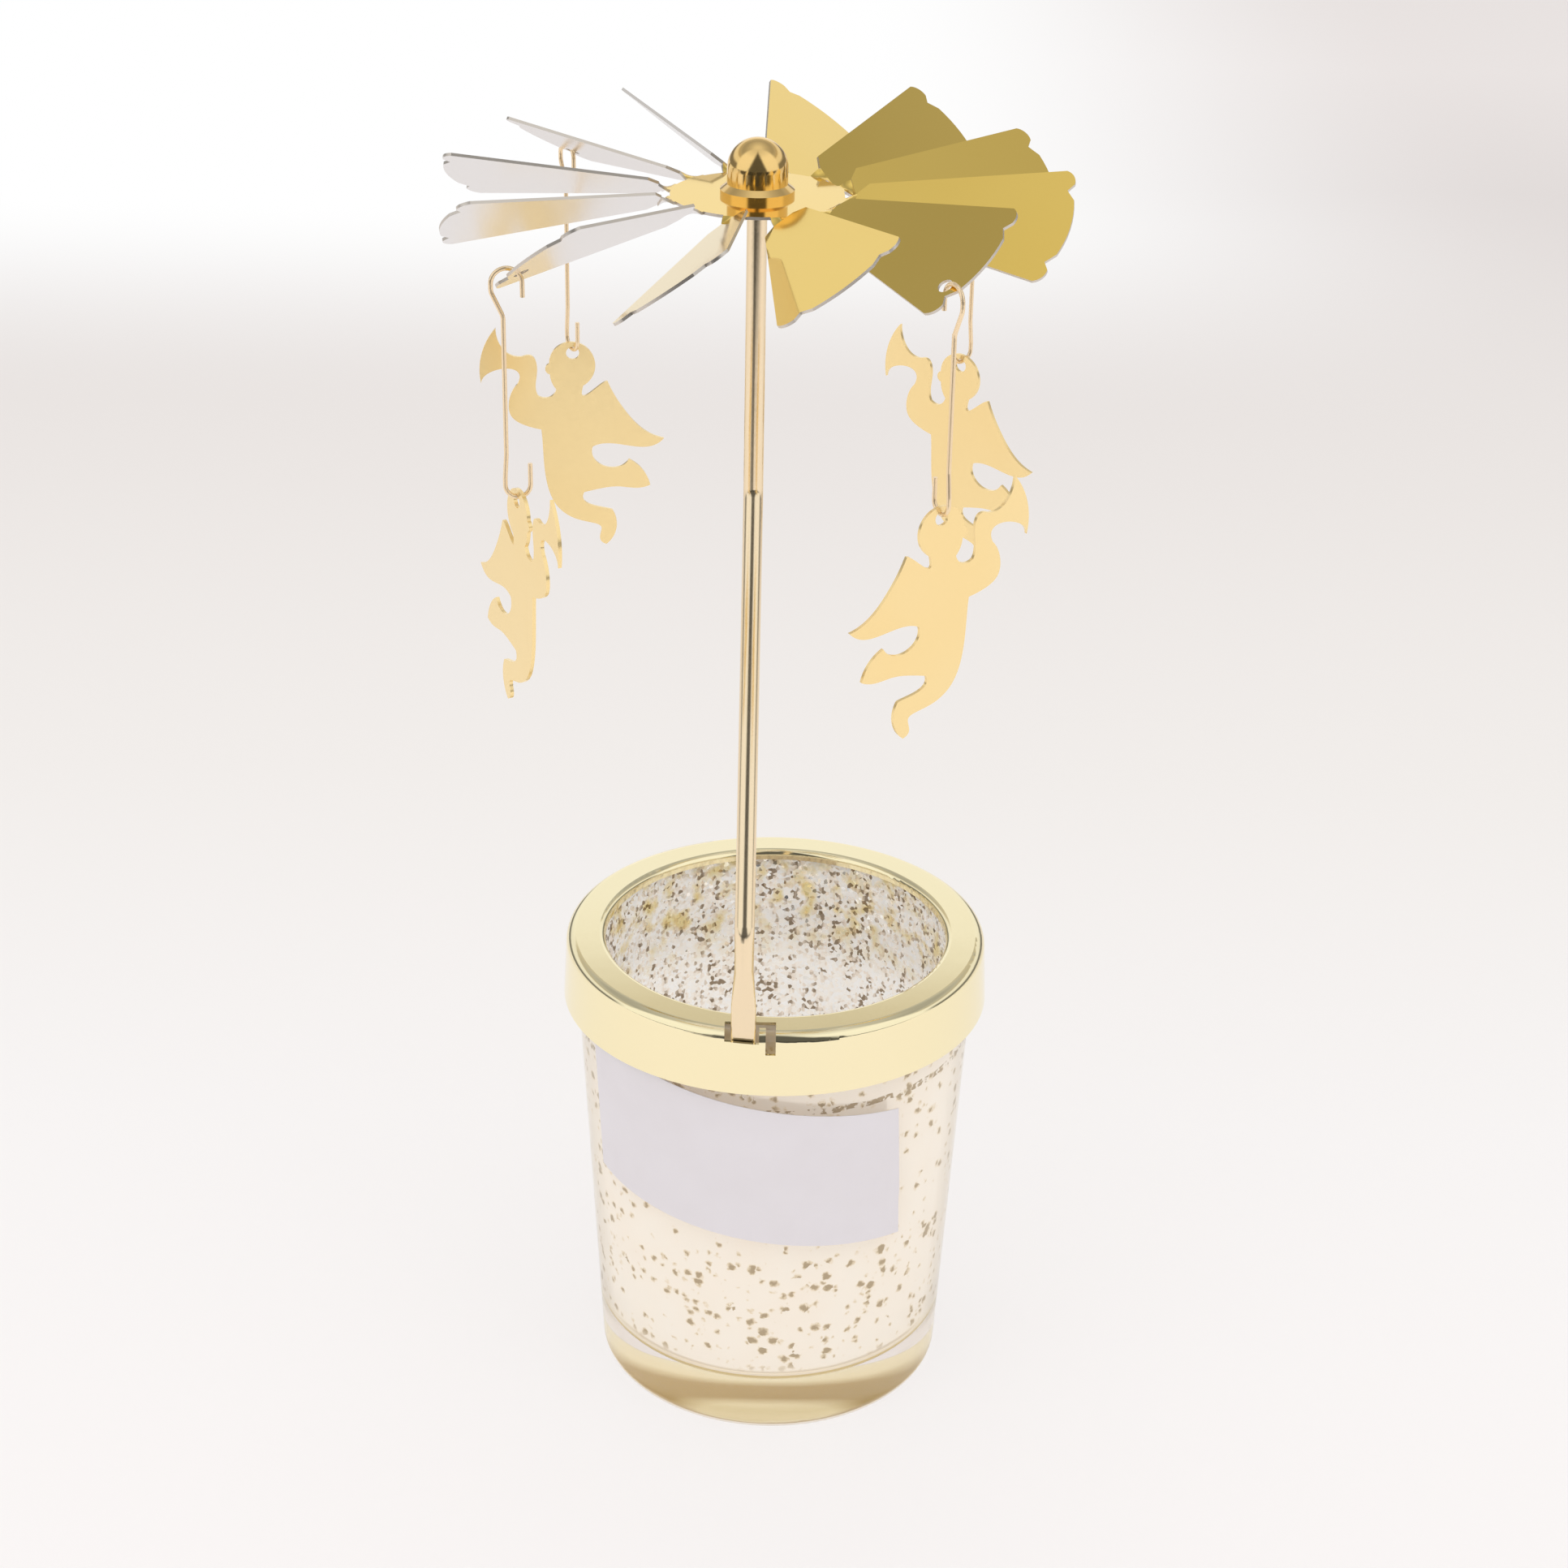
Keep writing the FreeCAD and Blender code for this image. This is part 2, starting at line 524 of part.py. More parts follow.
def angel(number, hook_turn, own_turn):
    """Sheet figure that hangs in balance, its hole over the hook's lower bend."""
    centre, pivot, outward = hook_seat(number, hook_turn)
    low_side = (pivot - centre).dot(outward)
    bend = centre + outward * low_side + UP * (HOOK_TOP_RADIUS - HOOK_LENGTH)
    edges = [stretch([Vector(ANGEL_HEIGHT * ahead, 0, ANGEL_HEIGHT * above)
                      for ahead, above in shares])
             for shares in ANGEL_STRETCH_SHARES]
    figure = Part.Face(Part.Wire(edges)).extrude(Vector(0, ANGEL_SHEET, 0))
    figure.translate(Vector(0, -ANGEL_SHEET / 2, 0))
    hole = Part.makeCylinder(ANGEL_HOLE_RADIUS, ANGEL_SHEET + OVERRUN,
                             Vector(0, -(ANGEL_SHEET + OVERRUN) / 2, 0), Vector(0, 1, 0))
    figure = figure.cut(hole).Solids[0]
    heaviest = figure.CenterOfMass
    balance = math.degrees(math.atan2(heaviest.x, -heaviest.z))
    figure.rotate(ORIGIN, Vector(0, 1, 0), balance)
    drop = ANGEL_HOLE_RADIUS - WIRE_RADIUS - ANGEL_CLEARANCE
    heading = math.degrees(math.atan2(outward.y, outward.x)) + 90 + own_turn
    figure.rotate(ORIGIN, UP, heading)
    figure.translate(bend - UP * drop)
    return figure


def pieces():
    """Every piece of the carousel under its own name."""
    parts = {
        "glass_cup": glass_cup(),
        "collar_ring": collar_ring(),
        "stem": stem(),
        "fan_rotor": fan_rotor(),
        "dome_cap": dome_cap(),
    }
    for name, number, hook_turn, own_turn in HANGERS:
        parts["hook_" + name] = hook(number, hook_turn)
        parts["angel_" + name] = angel(number, hook_turn, own_turn)
    return parts


os.makedirs("parts", exist_ok=True)
for node, shape in pieces().items():
    shape.exportStep("parts/" + node + ".step")
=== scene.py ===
import logging
import math
from dataclasses import dataclass, field
from enum import Enum

import bpy
from mathutils import Matrix, Vector


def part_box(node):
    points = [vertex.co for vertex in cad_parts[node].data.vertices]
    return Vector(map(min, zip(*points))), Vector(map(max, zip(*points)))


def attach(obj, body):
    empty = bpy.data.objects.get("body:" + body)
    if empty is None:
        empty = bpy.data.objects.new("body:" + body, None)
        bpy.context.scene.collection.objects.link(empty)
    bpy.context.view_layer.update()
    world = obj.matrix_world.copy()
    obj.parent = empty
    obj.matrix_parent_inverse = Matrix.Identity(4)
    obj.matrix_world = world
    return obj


# Finish of a candle carousel: a coated glass cup, a plated collar with a wire stem, and a turning
# fan that carries four sheet figures. Lengths are in metres and angles in radians. The origin is
# the centre of the cup's foot on the table, +Z is up and the stem stands at the front, towards -Y.
# A span holds where something starts and where it is whole. A source is a node's output, or a node
# that stands for its first output in use.

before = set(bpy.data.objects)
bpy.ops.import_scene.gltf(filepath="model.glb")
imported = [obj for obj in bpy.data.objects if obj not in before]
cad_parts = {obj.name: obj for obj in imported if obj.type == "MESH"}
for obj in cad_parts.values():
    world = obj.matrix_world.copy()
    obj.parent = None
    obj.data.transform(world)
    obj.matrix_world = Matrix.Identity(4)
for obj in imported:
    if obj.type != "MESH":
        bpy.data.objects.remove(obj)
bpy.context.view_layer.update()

MM = 0.001
ORIGIN = (0.0, 0.0, 0.0)
SMOOTH_ANGLE = math.radians(30)

Colour = tuple[float, float, float, float]
Span = tuple[float, float]
Stops = tuple[tuple[float, str | Colour], ...]
Tree = bpy.types.NodeTree
Source = bpy.types.Node | bpy.types.NodeSocket

log = logging.getLogger("carousel")


def linear(code: str) -> Colour:
    """Turns an sRGB hex colour to a linear one.

    Args:
        code: Six hex digits after a hash sign.

    Returns:
        Red, green, blue and an alpha of 1.
    """
    shares = [int(code[start:start + 2], 16) / 255 for start in (1, 3, 5)]
    red, green, blue = (s / 12.92 if s <= 0.04045 else ((s + 0.055) / 1.055) ** 2.4 for s in shares)
    return red, green, blue, 1.0


def grey(level: float) -> Colour:
    """Linear grey of one level."""
    return level, level, level, 1.0


def add_node(tree: Tree, kind: str, sockets: dict, span: Span | tuple = (),
             stops: Stops | list = (), **settings: object) -> bpy.types.Node:
    """Adds one shader node with its settings and links.

    Args:
        tree: The node tree that takes the node.
        kind: Blender's name of the node type, after the word ShaderNode.
        sockets: Values to set, colours by their code too, or sources to link, by the input's
            name or number.
        span: Start and end of the values that a map range reads.
        stops: Places and colours of a colour ramp.
        settings: Attributes of the node.

    Returns:
        The node.
    """
    node = tree.nodes.new("ShaderNode" + kind)
    for name, value in settings.items():
        setattr(node, name, value)
    for key, value in (sockets | dict(zip(("From Min", "From Max"), span))).items():
        if isinstance(value, bpy.types.Node):
            value = next(output for output in value.outputs if output.enabled)
        if isinstance(value, bpy.types.NodeSocket):
            tree.links.new(value, node.inputs[key])
        else:
            node.inputs[key].default_value = linear(value) if isinstance(value, str) else value
    if stops:
        elements = node.color_ramp.elements
        while len(elements) < len(stops):
            elements.new(1.0)
        for element, (place, colour) in zip(elements, stops):
            element.position = place
            element.color = linear(colour) if isinstance(colour, str) else colour
    return node


def let_light_pass(tree: Tree, shader: Source, tint: str | Colour, share: float) -> Source:
    """Lets the light of lamps and scattered light through a thin layer, straight on.

    Args:
        tree: The node tree of the layer's material.
        shader: What the layer looks like.
        tint: Colour that the passing light keeps.
        share: Share of that light that passes.

    Returns:
        The layer's surface.
    """
    path = add_node(tree, "LightPath", {}).outputs
    passing = add_node(tree, "Math", {
        0: path["Is Shadow Ray"], 1: path["Is Diffuse Ray"]}, operation="MAXIMUM")
    passing = add_node(tree, "Math", {0: passing, 1: share}, operation="MULTIPLY")
    clear = add_node(tree, "BsdfTransparent", {"Color": tint})
    return add_node(tree, "MixShader", {"Fac": passing, 1: shader, 2: clear})


@dataclass(frozen=True)
class Finish:
    """Finish of a piece.

    Attributes:
        name: The material's name.
    """

    name: str

    def material(self) -> bpy.types.Material:
        """Builds the finish as a node material."""
        material = bpy.data.materials.new(self.name)
        material.use_nodes = True
        tree = material.node_tree
        tree.nodes.clear()
        place = add_node(tree, "TexCoord", {}).outputs["Object"]
        add_node(tree, "OutputMaterial", {"Surface": self.surface(tree, place)})
        return material

    def surface(self, tree: Tree, place: Source) -> Source:
        """Builds the nodes of the surface, which each kind of finish does in its own way.

        Args:
            tree: The material's node tree.
            place: Place on the piece.

        Returns:
            The surface's shader.
        """
        raise NotImplementedError


@dataclass(frozen=True)
class PlatedMetal(Finish):
    """Thin steel, electroplated in pale gold and left bright from the roller or the die.

    The plating follows the steel's faint rolling waves, so what it mirrors is slightly wavy. The
    grain softens it a little, and the colour drifts where the plating is thicker.

    Attributes:
        gold: Colour of the plated face.
        deep: Colour where the plating is thickest.
        roughness: Mean roughness of the face.
        bare: Colour of the unplated underside, where one side alone is plated.
        bare_roughness: Roughness of that underside.
        cut: Colour of the edges that the die left, which are rougher than both faces.
        cut_roughness: Roughness of those edges.
        metallic: Share of bare mirror, the rest being the lacquer's own scatter.
        wave: Distance between two rolling waves.
        wave_depth: Height of a wave.
        grain: Size of the grain that softens the mirror.
        grain_share: Share of the roughness that the grain adds or takes.
        drift_waves: Number of waves over which the colour drifts.
        plated_slope: Upward part of the normal on the plated side.
        cut_slope: Upward part of the normal, up or down, on a cut edge.
    """

    gold: str
    deep: str
    roughness: float
    bare: str | None = None
    bare_roughness: float = 0.2
    cut: str = "#DAD3CA"
    cut_roughness: float = 0.4
    metallic: float = 1.0
    wave: float = 6 * MM
    wave_depth: float = 0.004 * MM
    grain: float = 0.5 * MM
    grain_share: float = 0.3
    drift_waves: float = 5.0
    plated_slope: Span = (0.62, 0.72)
    cut_slope: Span = (0.64, 0.58)

    def surface(self, tree: Tree, place: Source) -> Source:
        """Builds the plated face, and the bare underside and edges where it has them."""
        drift = add_node(tree, "TexNoise", {
            "Vector": place, "Scale": 1 / (self.drift_waves * self.wave)})
        grain = add_node(tree, "TexNoise", {
            "Vector": place, "Scale": 1 / self.grain, "Detail": 4.0})
        wave = add_node(tree, "TexNoise", {"Vector": place, "Scale": 1 / self.wave, "Detail": 1.0})
        colour = add_node(tree, "Mix", {"Factor": drift, "A": self.gold, "B": self.deep},
                          data_type="RGBA")
        roughness = add_node(tree, "MapRange", {
            "Value": grain, "To Min": self.roughness * (1 - self.grain_share),
            "To Max": self.roughness * (1 + self.grain_share)})
        if self.bare:
            colour, roughness = self.leave_bare(tree, colour, roughness)
        bump = add_node(tree, "Bump", {"Height": wave, "Distance": self.wave_depth})
        return add_node(tree, "BsdfPrincipled", {
            "Base Color": colour, "Metallic": self.metallic, "Roughness": roughness,
            "Normal": bump})

    def leave_bare(self, tree: Tree, colour: Source, roughness: Source) -> tuple[Source, Source]:
        """Leaves the underside unplated and the cut edges rough.

        Args:
            tree: The material's node tree.
            colour: Colour of the plated face.
            roughness: Roughness of the plated face.

        Returns:
            Colour and roughness of the whole sheet.
        """
        normal = add_node(tree, "NewGeometry", {}).outputs["Normal"]
        upward = add_node(tree, "SeparateXYZ", {"Vector": normal}).outputs["Z"]
        plated = add_node(tree, "MapRange", {"Value": upward}, span=self.plated_slope)
        colour = add_node(tree, "Mix", {
            "Factor": plated, "A": self.bare, "B": colour}, data_type="RGBA")
        roughness = add_node(tree, "Mix", {
            "Factor": plated, "A": self.bare_roughness, "B": roughness})
        slope = add_node(tree, "Math", {0: upward}, operation="ABSOLUTE")
        edge = add_node(tree, "MapRange", {"Value": slope}, span=self.cut_slope)
        colour = add_node(tree, "Mix", {
            "Factor": edge, "A": colour, "B": self.cut}, data_type="RGBA")
        roughness = add_node(tree, "Mix", {
            "Factor": edge, "A": roughness, "B": self.cut_roughness})
        return colour, roughness


@dataclass(frozen=True)
class PressedGlass(Finish):
    """Soda-lime glass, pressed in a mould and fire-polished, so it is clear and barely wavy.

    Attributes:
        tint: Colour that the light keeps after it passes.
        limb: That colour where the wall is seen edge-on and the way through it is longest.
        limb_facing: How far the wall is turned from the eye there.
        base: That colour in the thick base, a painted reflection of the gold of the floor above it.
        base_heights: Where that colour sets in, from the top.
        index: Refractive index.
        wave: Distance between the mould's waves.
        wave_depth: Height of a wave.
    """

    name: str = "pressed_glass"
    tint: str = "#FFFEFC"
    limb: str = "#DEDAD0"
    limb_facing: Span = (0.68, 0.82)
    base: str = "#FFF9EE"
    base_heights: Span = (10.2 * MM, 8.2 * MM)
    index: float = 1.5
    wave: float = 9 * MM
    wave_depth: float = 0.02 * MM

    def surface(self, tree: Tree, place: Source) -> Source:
        """Builds the glass, which lets lamps and scattered light through to what it covers."""
        wave = add_node(tree, "TexNoise", {"Vector": place, "Scale": 1 / self.wave, "Detail": 1.0})
        bump = add_node(tree, "Bump", {"Height": wave, "Distance": self.wave_depth})
        facing = add_node(tree, "LayerWeight", {}).outputs["Facing"]
        edge_on = add_node(tree, "MapRange", {"Value": facing}, span=self.limb_facing)
        height = add_node(tree, "SeparateXYZ", {"Vector": place}).outputs["Z"]
        # Painted reflection: the thick base takes the gold of the floor above it as a tint.
        low = add_node(tree, "MapRange", {"Value": height}, span=self.base_heights)
        colour = self.tint
        for mask, tint in ((edge_on, self.limb), (low, self.base)):
            colour = add_node(tree, "Mix", {
                "Factor": mask, "A": colour, "B": tint}, data_type="RGBA")
        glass = add_node(tree, "BsdfPrincipled", {
            "Base Color": colour, "Roughness": 0.0, "IOR": self.index,
            "Transmission Weight": 1.0, "Normal": bump})
        return let_light_pass(tree, glass, self.tint, 1.0)


@dataclass(frozen=True)
class FoilBack(Finish):
    """Back of the coating, as the glass shows it: cream metal with small pits of bare glass.

    The metal was laid on the glass by electroplating and crackled in a kiln, so it is thin enough
    to glow. Pits crowd in drifts over its lower half, a broken dark line of painted shade runs
    round it under the collar at the height of the label's top edge, and the floor's underside is
    gold.

    Attributes:
        cream: Colour of the whole coating.
        shade: Colour where the coating lies thin.
        metallic: Share of bare mirror in the cream metal.
        roughness: Roughness of the whole back.
        pit: Colour of a pit.
        halo: Colour of the stain round a pit.
        spacing: Distance between two pits.
        largest: Share of that distance that the largest pit fills.
        fray: Share of that distance by which the pits' outlines wander.
        fray_size: Size of that wandering.
        pit_chance: Chance at which a pit starts to show and is largest.
        pit_edge: Way in from a pit's outline to its full colour, as shares of the distance.
        halo_edge: Way in to the stain's full colour.
        drift_size: Size of a drift.
        crowding: Chance that a dense drift adds and a bare one takes.
        crowd_drift: Level of the drift's noise where it is barest and densest.
        first_heights: Where the lowest pits set in.
        painted_shade_height: Height of the painted shade line round the coating.
        painted_shade_half_width: Half that line's width.
        painted_shade_wander: How far the line wanders up and down.
        painted_shade_breaks: Level of the fine noise where the line is broken and whole.
        base: Colour of the gold on the floor's underside.
        base_deep: Darker colour of that gold, in some of its rings.
        base_metallic: Share of bare mirror in it.
        base_radius: Radius of the floor's underside.
        base_rings: Ends of the gold's rings, as shares of that radius, and whether a ring is darker.
        gold_end: Where the gold ends, a little up the wall.
        through: Share of the light that passes the coating.
    """

    name: str = "coating_back"
    cream: str = "#FFFAF0"
    shade: str = "#FFF4E5"
    metallic: float = 0.35
    roughness: float = 0.14
    pit: str = "#B5A282"
    halo: str = "#F2E2C6"
    spacing: float = 1.5 * MM
    largest: float = 0.54
    fray: float = 0.9
    fray_size: float = 0.9375 * MM
    pit_chance: Span = (0.25, 1.1)
    pit_edge: Span = (0.0, 0.16)
    halo_edge: Span = (-0.12, 0.02)
    drift_size: float = 7.5 * MM
    crowding: float = 0.2
    crowd_drift: Span = (0.35, 0.62)
    first_heights: Span = (10 * MM, 12 * MM)
    painted_shade_height: float = 56.6 * MM
    painted_shade_half_width: float = 0.5 * MM
    painted_shade_wander: float = 2 * MM
    painted_shade_breaks: Span = (0.47, 0.55)
    base: str = "#FFFAE4"
    base_deep: str = "#C4AA66"
    base_metallic: float = 0.05
    base_radius: float = 23.4 * MM
    base_rings: tuple[tuple[float, bool], ...] = (
        (0.0, False), (0.26, False), (0.38, True), (0.60, True), (0.73, False), (0.92, False),
        (1.0, True))
    gold_end: Span = (9.2 * MM, 9.5 * MM)
    through: float = 0.98

    def surface(self, tree: Tree, place: Source) -> Source:
        """Builds the cream back with its pits and painted shade line, and the gold under the floor."""
        axes = add_node(tree, "SeparateXYZ", {"Vector": place}).outputs
        drift = add_node(tree, "TexNoise", {
            "Vector": place, "Scale": 1 / self.drift_size, "Detail": 2.0})
        ragged = add_node(tree, "TexNoise", {
            "Vector": place, "Scale": 1 / self.fray_size, "Detail": 3.0})
        pit, stain = self.pits(tree, place, drift, ragged.outputs["Color"])
        # Painted shade: a broken dark line round the coating under the collar, at the label's top edge.
        painted_label_shade = self.painted_label_shade(tree, axes["Z"], drift, ragged)
        coat = add_node(tree, "Mix", {
            "Factor": drift, "A": self.cream, "B": self.shade}, data_type="RGBA")
        for mask, colour in ((stain, self.halo), (pit, self.pit), (painted_label_shade, self.pit)):
            coat = add_node(tree, "Mix", {
                "Factor": mask, "A": coat, "B": colour}, data_type="RGBA")
        raised = add_node(tree, "MapRange", {"Value": axes["Z"]}, span=self.gold_end)
        gold = self.gold(tree, axes["X"], axes["Y"])
        colour = add_node(tree, "Mix", {"Factor": raised, "A": gold, "B": coat}, data_type="RGBA")
        metallic = add_node(tree, "MapRange", {
            "Value": raised, "To Min": self.base_metallic, "To Max": self.metallic})
        metal = add_node(tree, "BsdfPrincipled", {
            "Base Color": colour, "Metallic": metallic, "Roughness": self.roughness})
        return let_light_pass(tree, metal, grey(1.0), self.through)

    def pits(self, tree: Tree, place: Source, drift: Source, ragged: Source) -> list[Source]:
        """Scatters the pits.

        Args:
            tree: The material's node tree.
            place: Place on the coating.
            drift: Slow noise that crowds the pits.
            ragged: Fine coloured noise that frays their outlines.

        Returns:
            Masks of the pits and of the stains round them.
        """
        shift = add_node(tree, "VectorMath", {
            0: ragged, "Scale": self.spacing * self.fray}, operation="SCALE")
        moved = add_node(tree, "VectorMath", {0: place, 1: shift}, operation="ADD")
        cells = add_node(tree, "TexVoronoi", {"Vector": moved, "Scale": 1 / self.spacing}).outputs
        random = add_node(tree, "SeparateXYZ", {"Vector": cells["Color"]}).outputs["X"]
        crowd = add_node(tree, "MapRange", {
            "Value": drift, "To Min": -self.crowding, "To Max": self.crowding},
            span=self.crowd_drift)
        chance = add_node(tree, "Math", {0: random, 1: crowd}, operation="ADD")
        reach = add_node(tree, "MapRange", {
            "Value": chance, "To Max": self.largest}, span=self.pit_chance)
        inside = add_node(tree, "Math", {0: reach, 1: cells["Distance"]}, operation="SUBTRACT")
        height = add_node(tree, "SeparateXYZ", {"Vector": place}).outputs["Z"]
        above = add_node(tree, "MapRange", {"Value": height}, span=self.first_heights)
        masks = []
        for edge in (self.pit_edge, self.halo_edge):
            depth = add_node(tree, "MapRange", {"Value": inside}, span=edge)
            masks.append(add_node(tree, "Math", {0: depth, 1: above}, operation="MULTIPLY"))
        return masks

    def painted_label_shade(self, tree: Tree, height: Source, drift: Source, ragged: Source) -> Source:
        """Paints the broken dark line round the coating: painted shade at the label's top edge.

        Args:
            tree: The material's node tree.
            height: Height on the coating.
            drift: Slow noise that lets the line wander.
            ragged: Fine noise that breaks it.

        Returns:
            Mask of the painted shade line.
        """
        uneven = add_node(tree, "Math", {0: drift, 1: self.painted_shade_wander}, operation="MULTIPLY")
        level = add_node(tree, "Math", {0: height, 1: uneven}, operation="ADD")
        near = add_node(tree, "Math", {
            0: level, 1: self.painted_shade_height + self.painted_shade_wander / 2,
            2: self.painted_shade_half_width}, operation="COMPARE")
        whole = add_node(tree, "MapRange", {"Value": ragged}, span=self.painted_shade_breaks)
        return add_node(tree, "Math", {0: near, 1: whole}, operation="MULTIPLY")

    def gold(self, tree: Tree, across: Source, depth: Source) -> Source:
        """Draws the rings of paler and darker gold on the floor's underside.

        Args:
            tree: The material's node tree.
            across: Place across the coating.
            depth: Place from its front to its back.

        Returns:
            Colour of the gold.
        """
        flat = add_node(tree, "CombineXYZ", {"X": across, "Y": depth})
        from_axis = add_node(tree, "VectorMath", {0: flat}, operation="LENGTH")
        share = add_node(tree, "Math", {0: from_axis, 1: self.base_radius}, operation="DIVIDE")
        return add_node(tree, "ValToRGB", {"Fac": share}, stops=[
            (end, self.base_deep if darker else self.base) for end, darker in self.base_rings])


@dataclass(frozen=True)
class CrackleFoil(Finish):
    """Inner face of the coating: silver metal, broken by the kiln into flakes at odd angles.

    A flake is drawn half as large again as the real one, so that it still shows.

    Attributes:
        tones: Colours in the cracks, of the flakes that face away, which is painted shade, of most
        flakes and of those that face the light, which is a painted glint, each with the share of
        the foil that is darker.
        roughness: Roughness of a flake.
        mirrors: Chance from which a flake is a bare mirror, in part and in whole.
        flake: Width of a flake.
        tilt: How far the flakes lean.
        tilt_middle: Middle of the flakes' leans, which are drawn from 0 to 1 on each axis.
        streak: Distance between two of the runs down the wall.
        streak_share: That distance as a share of a run's length.
        streak_noise: Level of the noise in a dark run and in a bright one.
        streak_depth: Share of the foil that a run darkens or brightens.
        gold: Colour of the flecks near the rim.
        fleck: Distance between two gold flecks.
        fleck_noise: Level of the noise where a fleck starts and is whole.
        fleck_heights: Where the flecks set in.
        glow: Share of the flakes' light that comes through the coating.
        covered_heights: Where that share sets in, down from the part that the collar covers; the
        glow that fades out above it is painted shade under the collar.
        through: Share of the light that passes the coating.
    """

    name: str = "crackle_foil"
    tones: Stops = ((0.0, "#968571"), (0.16, "#F2E6D9"), (0.34, "#FFFAF3"), (0.95, "#FFFFFF"))
    roughness: float = 0.2
    mirrors: Span = (0.80, 0.90)
    flake: float = 0.55 * MM
    tilt: float = 0.6
    tilt_middle: tuple[float, float, float] = (0.5, 0.5, 0.3)
    streak: float = 1.6 * MM
    streak_share: float = 0.15
    streak_noise: Span = (0.3, 0.7)
    streak_depth: float = 0.22
    gold: str = "#F0E0A8"
    fleck: float = 3.2 * MM
    fleck_noise: Span = (0.48, 0.66)
    fleck_heights: Span = (52 * MM, 60 * MM)
    glow: float = 0.8
    covered_heights: Span = (61 * MM, 52 * MM)
    through: float = 0.98

    def surface(self, tree: Tree, place: Source) -> Source:
        """Builds the flakes, of which some are bare mirrors and all glow where light gets in."""
        height = add_node(tree, "SeparateXYZ", {"Vector": place}).outputs["Z"]
        flakes = add_node(tree, "TexVoronoi", {
            "Vector": place, "Scale": 1 / self.flake}).outputs["Color"]
        random = add_node(tree, "SeparateXYZ", {"Vector": flakes}).outputs
        colour = self.colour(tree, place, height, random["X"])
        mirror = add_node(tree, "MapRange", {"Value": random["Y"]}, span=self.mirrors)
        metal = add_node(tree, "BsdfPrincipled", {
            "Base Color": colour, "Metallic": mirror, "Roughness": self.roughness,
            "Normal": self.leaning_normal(tree, flakes)})
        glow = add_node(tree, "BsdfTranslucent", {"Color": colour})
        # Painted shade: the glow fades out towards the rim, where the collar covers the coating.
        lit = add_node(tree, "MapRange", {
            "Value": height, "To Max": self.glow}, span=self.covered_heights)
        face = add_node(tree, "MixShader", {"Fac": lit, 1: metal, 2: glow})
        return let_light_pass(tree, face, grey(1.0), self.through)

    def colour(self, tree: Tree, place: Source, height: Source, random: Source) -> Source:
        """Colours the flakes, in runs down the wall and in gold flecks near the rim.

        Args:
            tree: The material's node tree.
            place: Place on the foil.
            height: Height on it.
            random: A number from 0 to 1 for each flake.

        Returns:
            Colour of the foil.
        """
        along = 1 / self.streak
        drawn = add_node(tree, "Mapping", {
            "Vector": place, "Scale": (along, along, along * self.streak_share)})
        streak = add_node(tree, "TexNoise", {"Vector": drawn, "Scale": 1.0, "Detail": 2.0})
        lean = add_node(tree, "MapRange", {
            "Value": streak, "To Min": -self.streak_depth, "To Max": self.streak_depth},
            span=self.streak_noise)
        chance = add_node(tree, "Math", {0: random, 1: lean}, operation="ADD")
        # Painted shade and glints: drawn at random, some flakes are darker as if they faced away from
        # the light and some white as if they faced it.
        tone = add_node(tree, "ValToRGB", {"Fac": chance}, stops=self.tones)
        high = add_node(tree, "MapRange", {"Value": height}, span=self.fleck_heights)
        patch = add_node(tree, "TexNoise", {
            "Vector": place, "Scale": 1 / self.fleck, "Detail": 3.0})
        patch = add_node(tree, "MapRange", {"Value": patch}, span=self.fleck_noise)
        fleck = add_node(tree, "Math", {0: high, 1: patch}, operation="MULTIPLY")
        return add_node(tree, "Mix", {"Factor": fleck, "A": tone, "B": self.gold},
                        data_type="RGBA", blend_type="MULTIPLY")

    def leaning_normal(self, tree: Tree, flakes: Source) -> Source:
        """Leans each flake its own way.

        Args:
            tree: The material's node tree.
            flakes: A colour for each flake, drawn at random.

        Returns:
            The flake's normal.
        """
        lean = add_node(tree, "VectorMath", {0: flakes, 1: self.tilt_middle}, operation="SUBTRACT")
        lean = add_node(tree, "VectorMath", {0: lean, "Scale": self.tilt}, operation="SCALE")
        normal = add_node(tree, "NewGeometry", {}).outputs["Normal"]
        normal = add_node(tree, "VectorMath", {0: normal, 1: lean}, operation="ADD")
        return add_node(tree, "VectorMath", {0: normal}, operation="NORMALIZE")


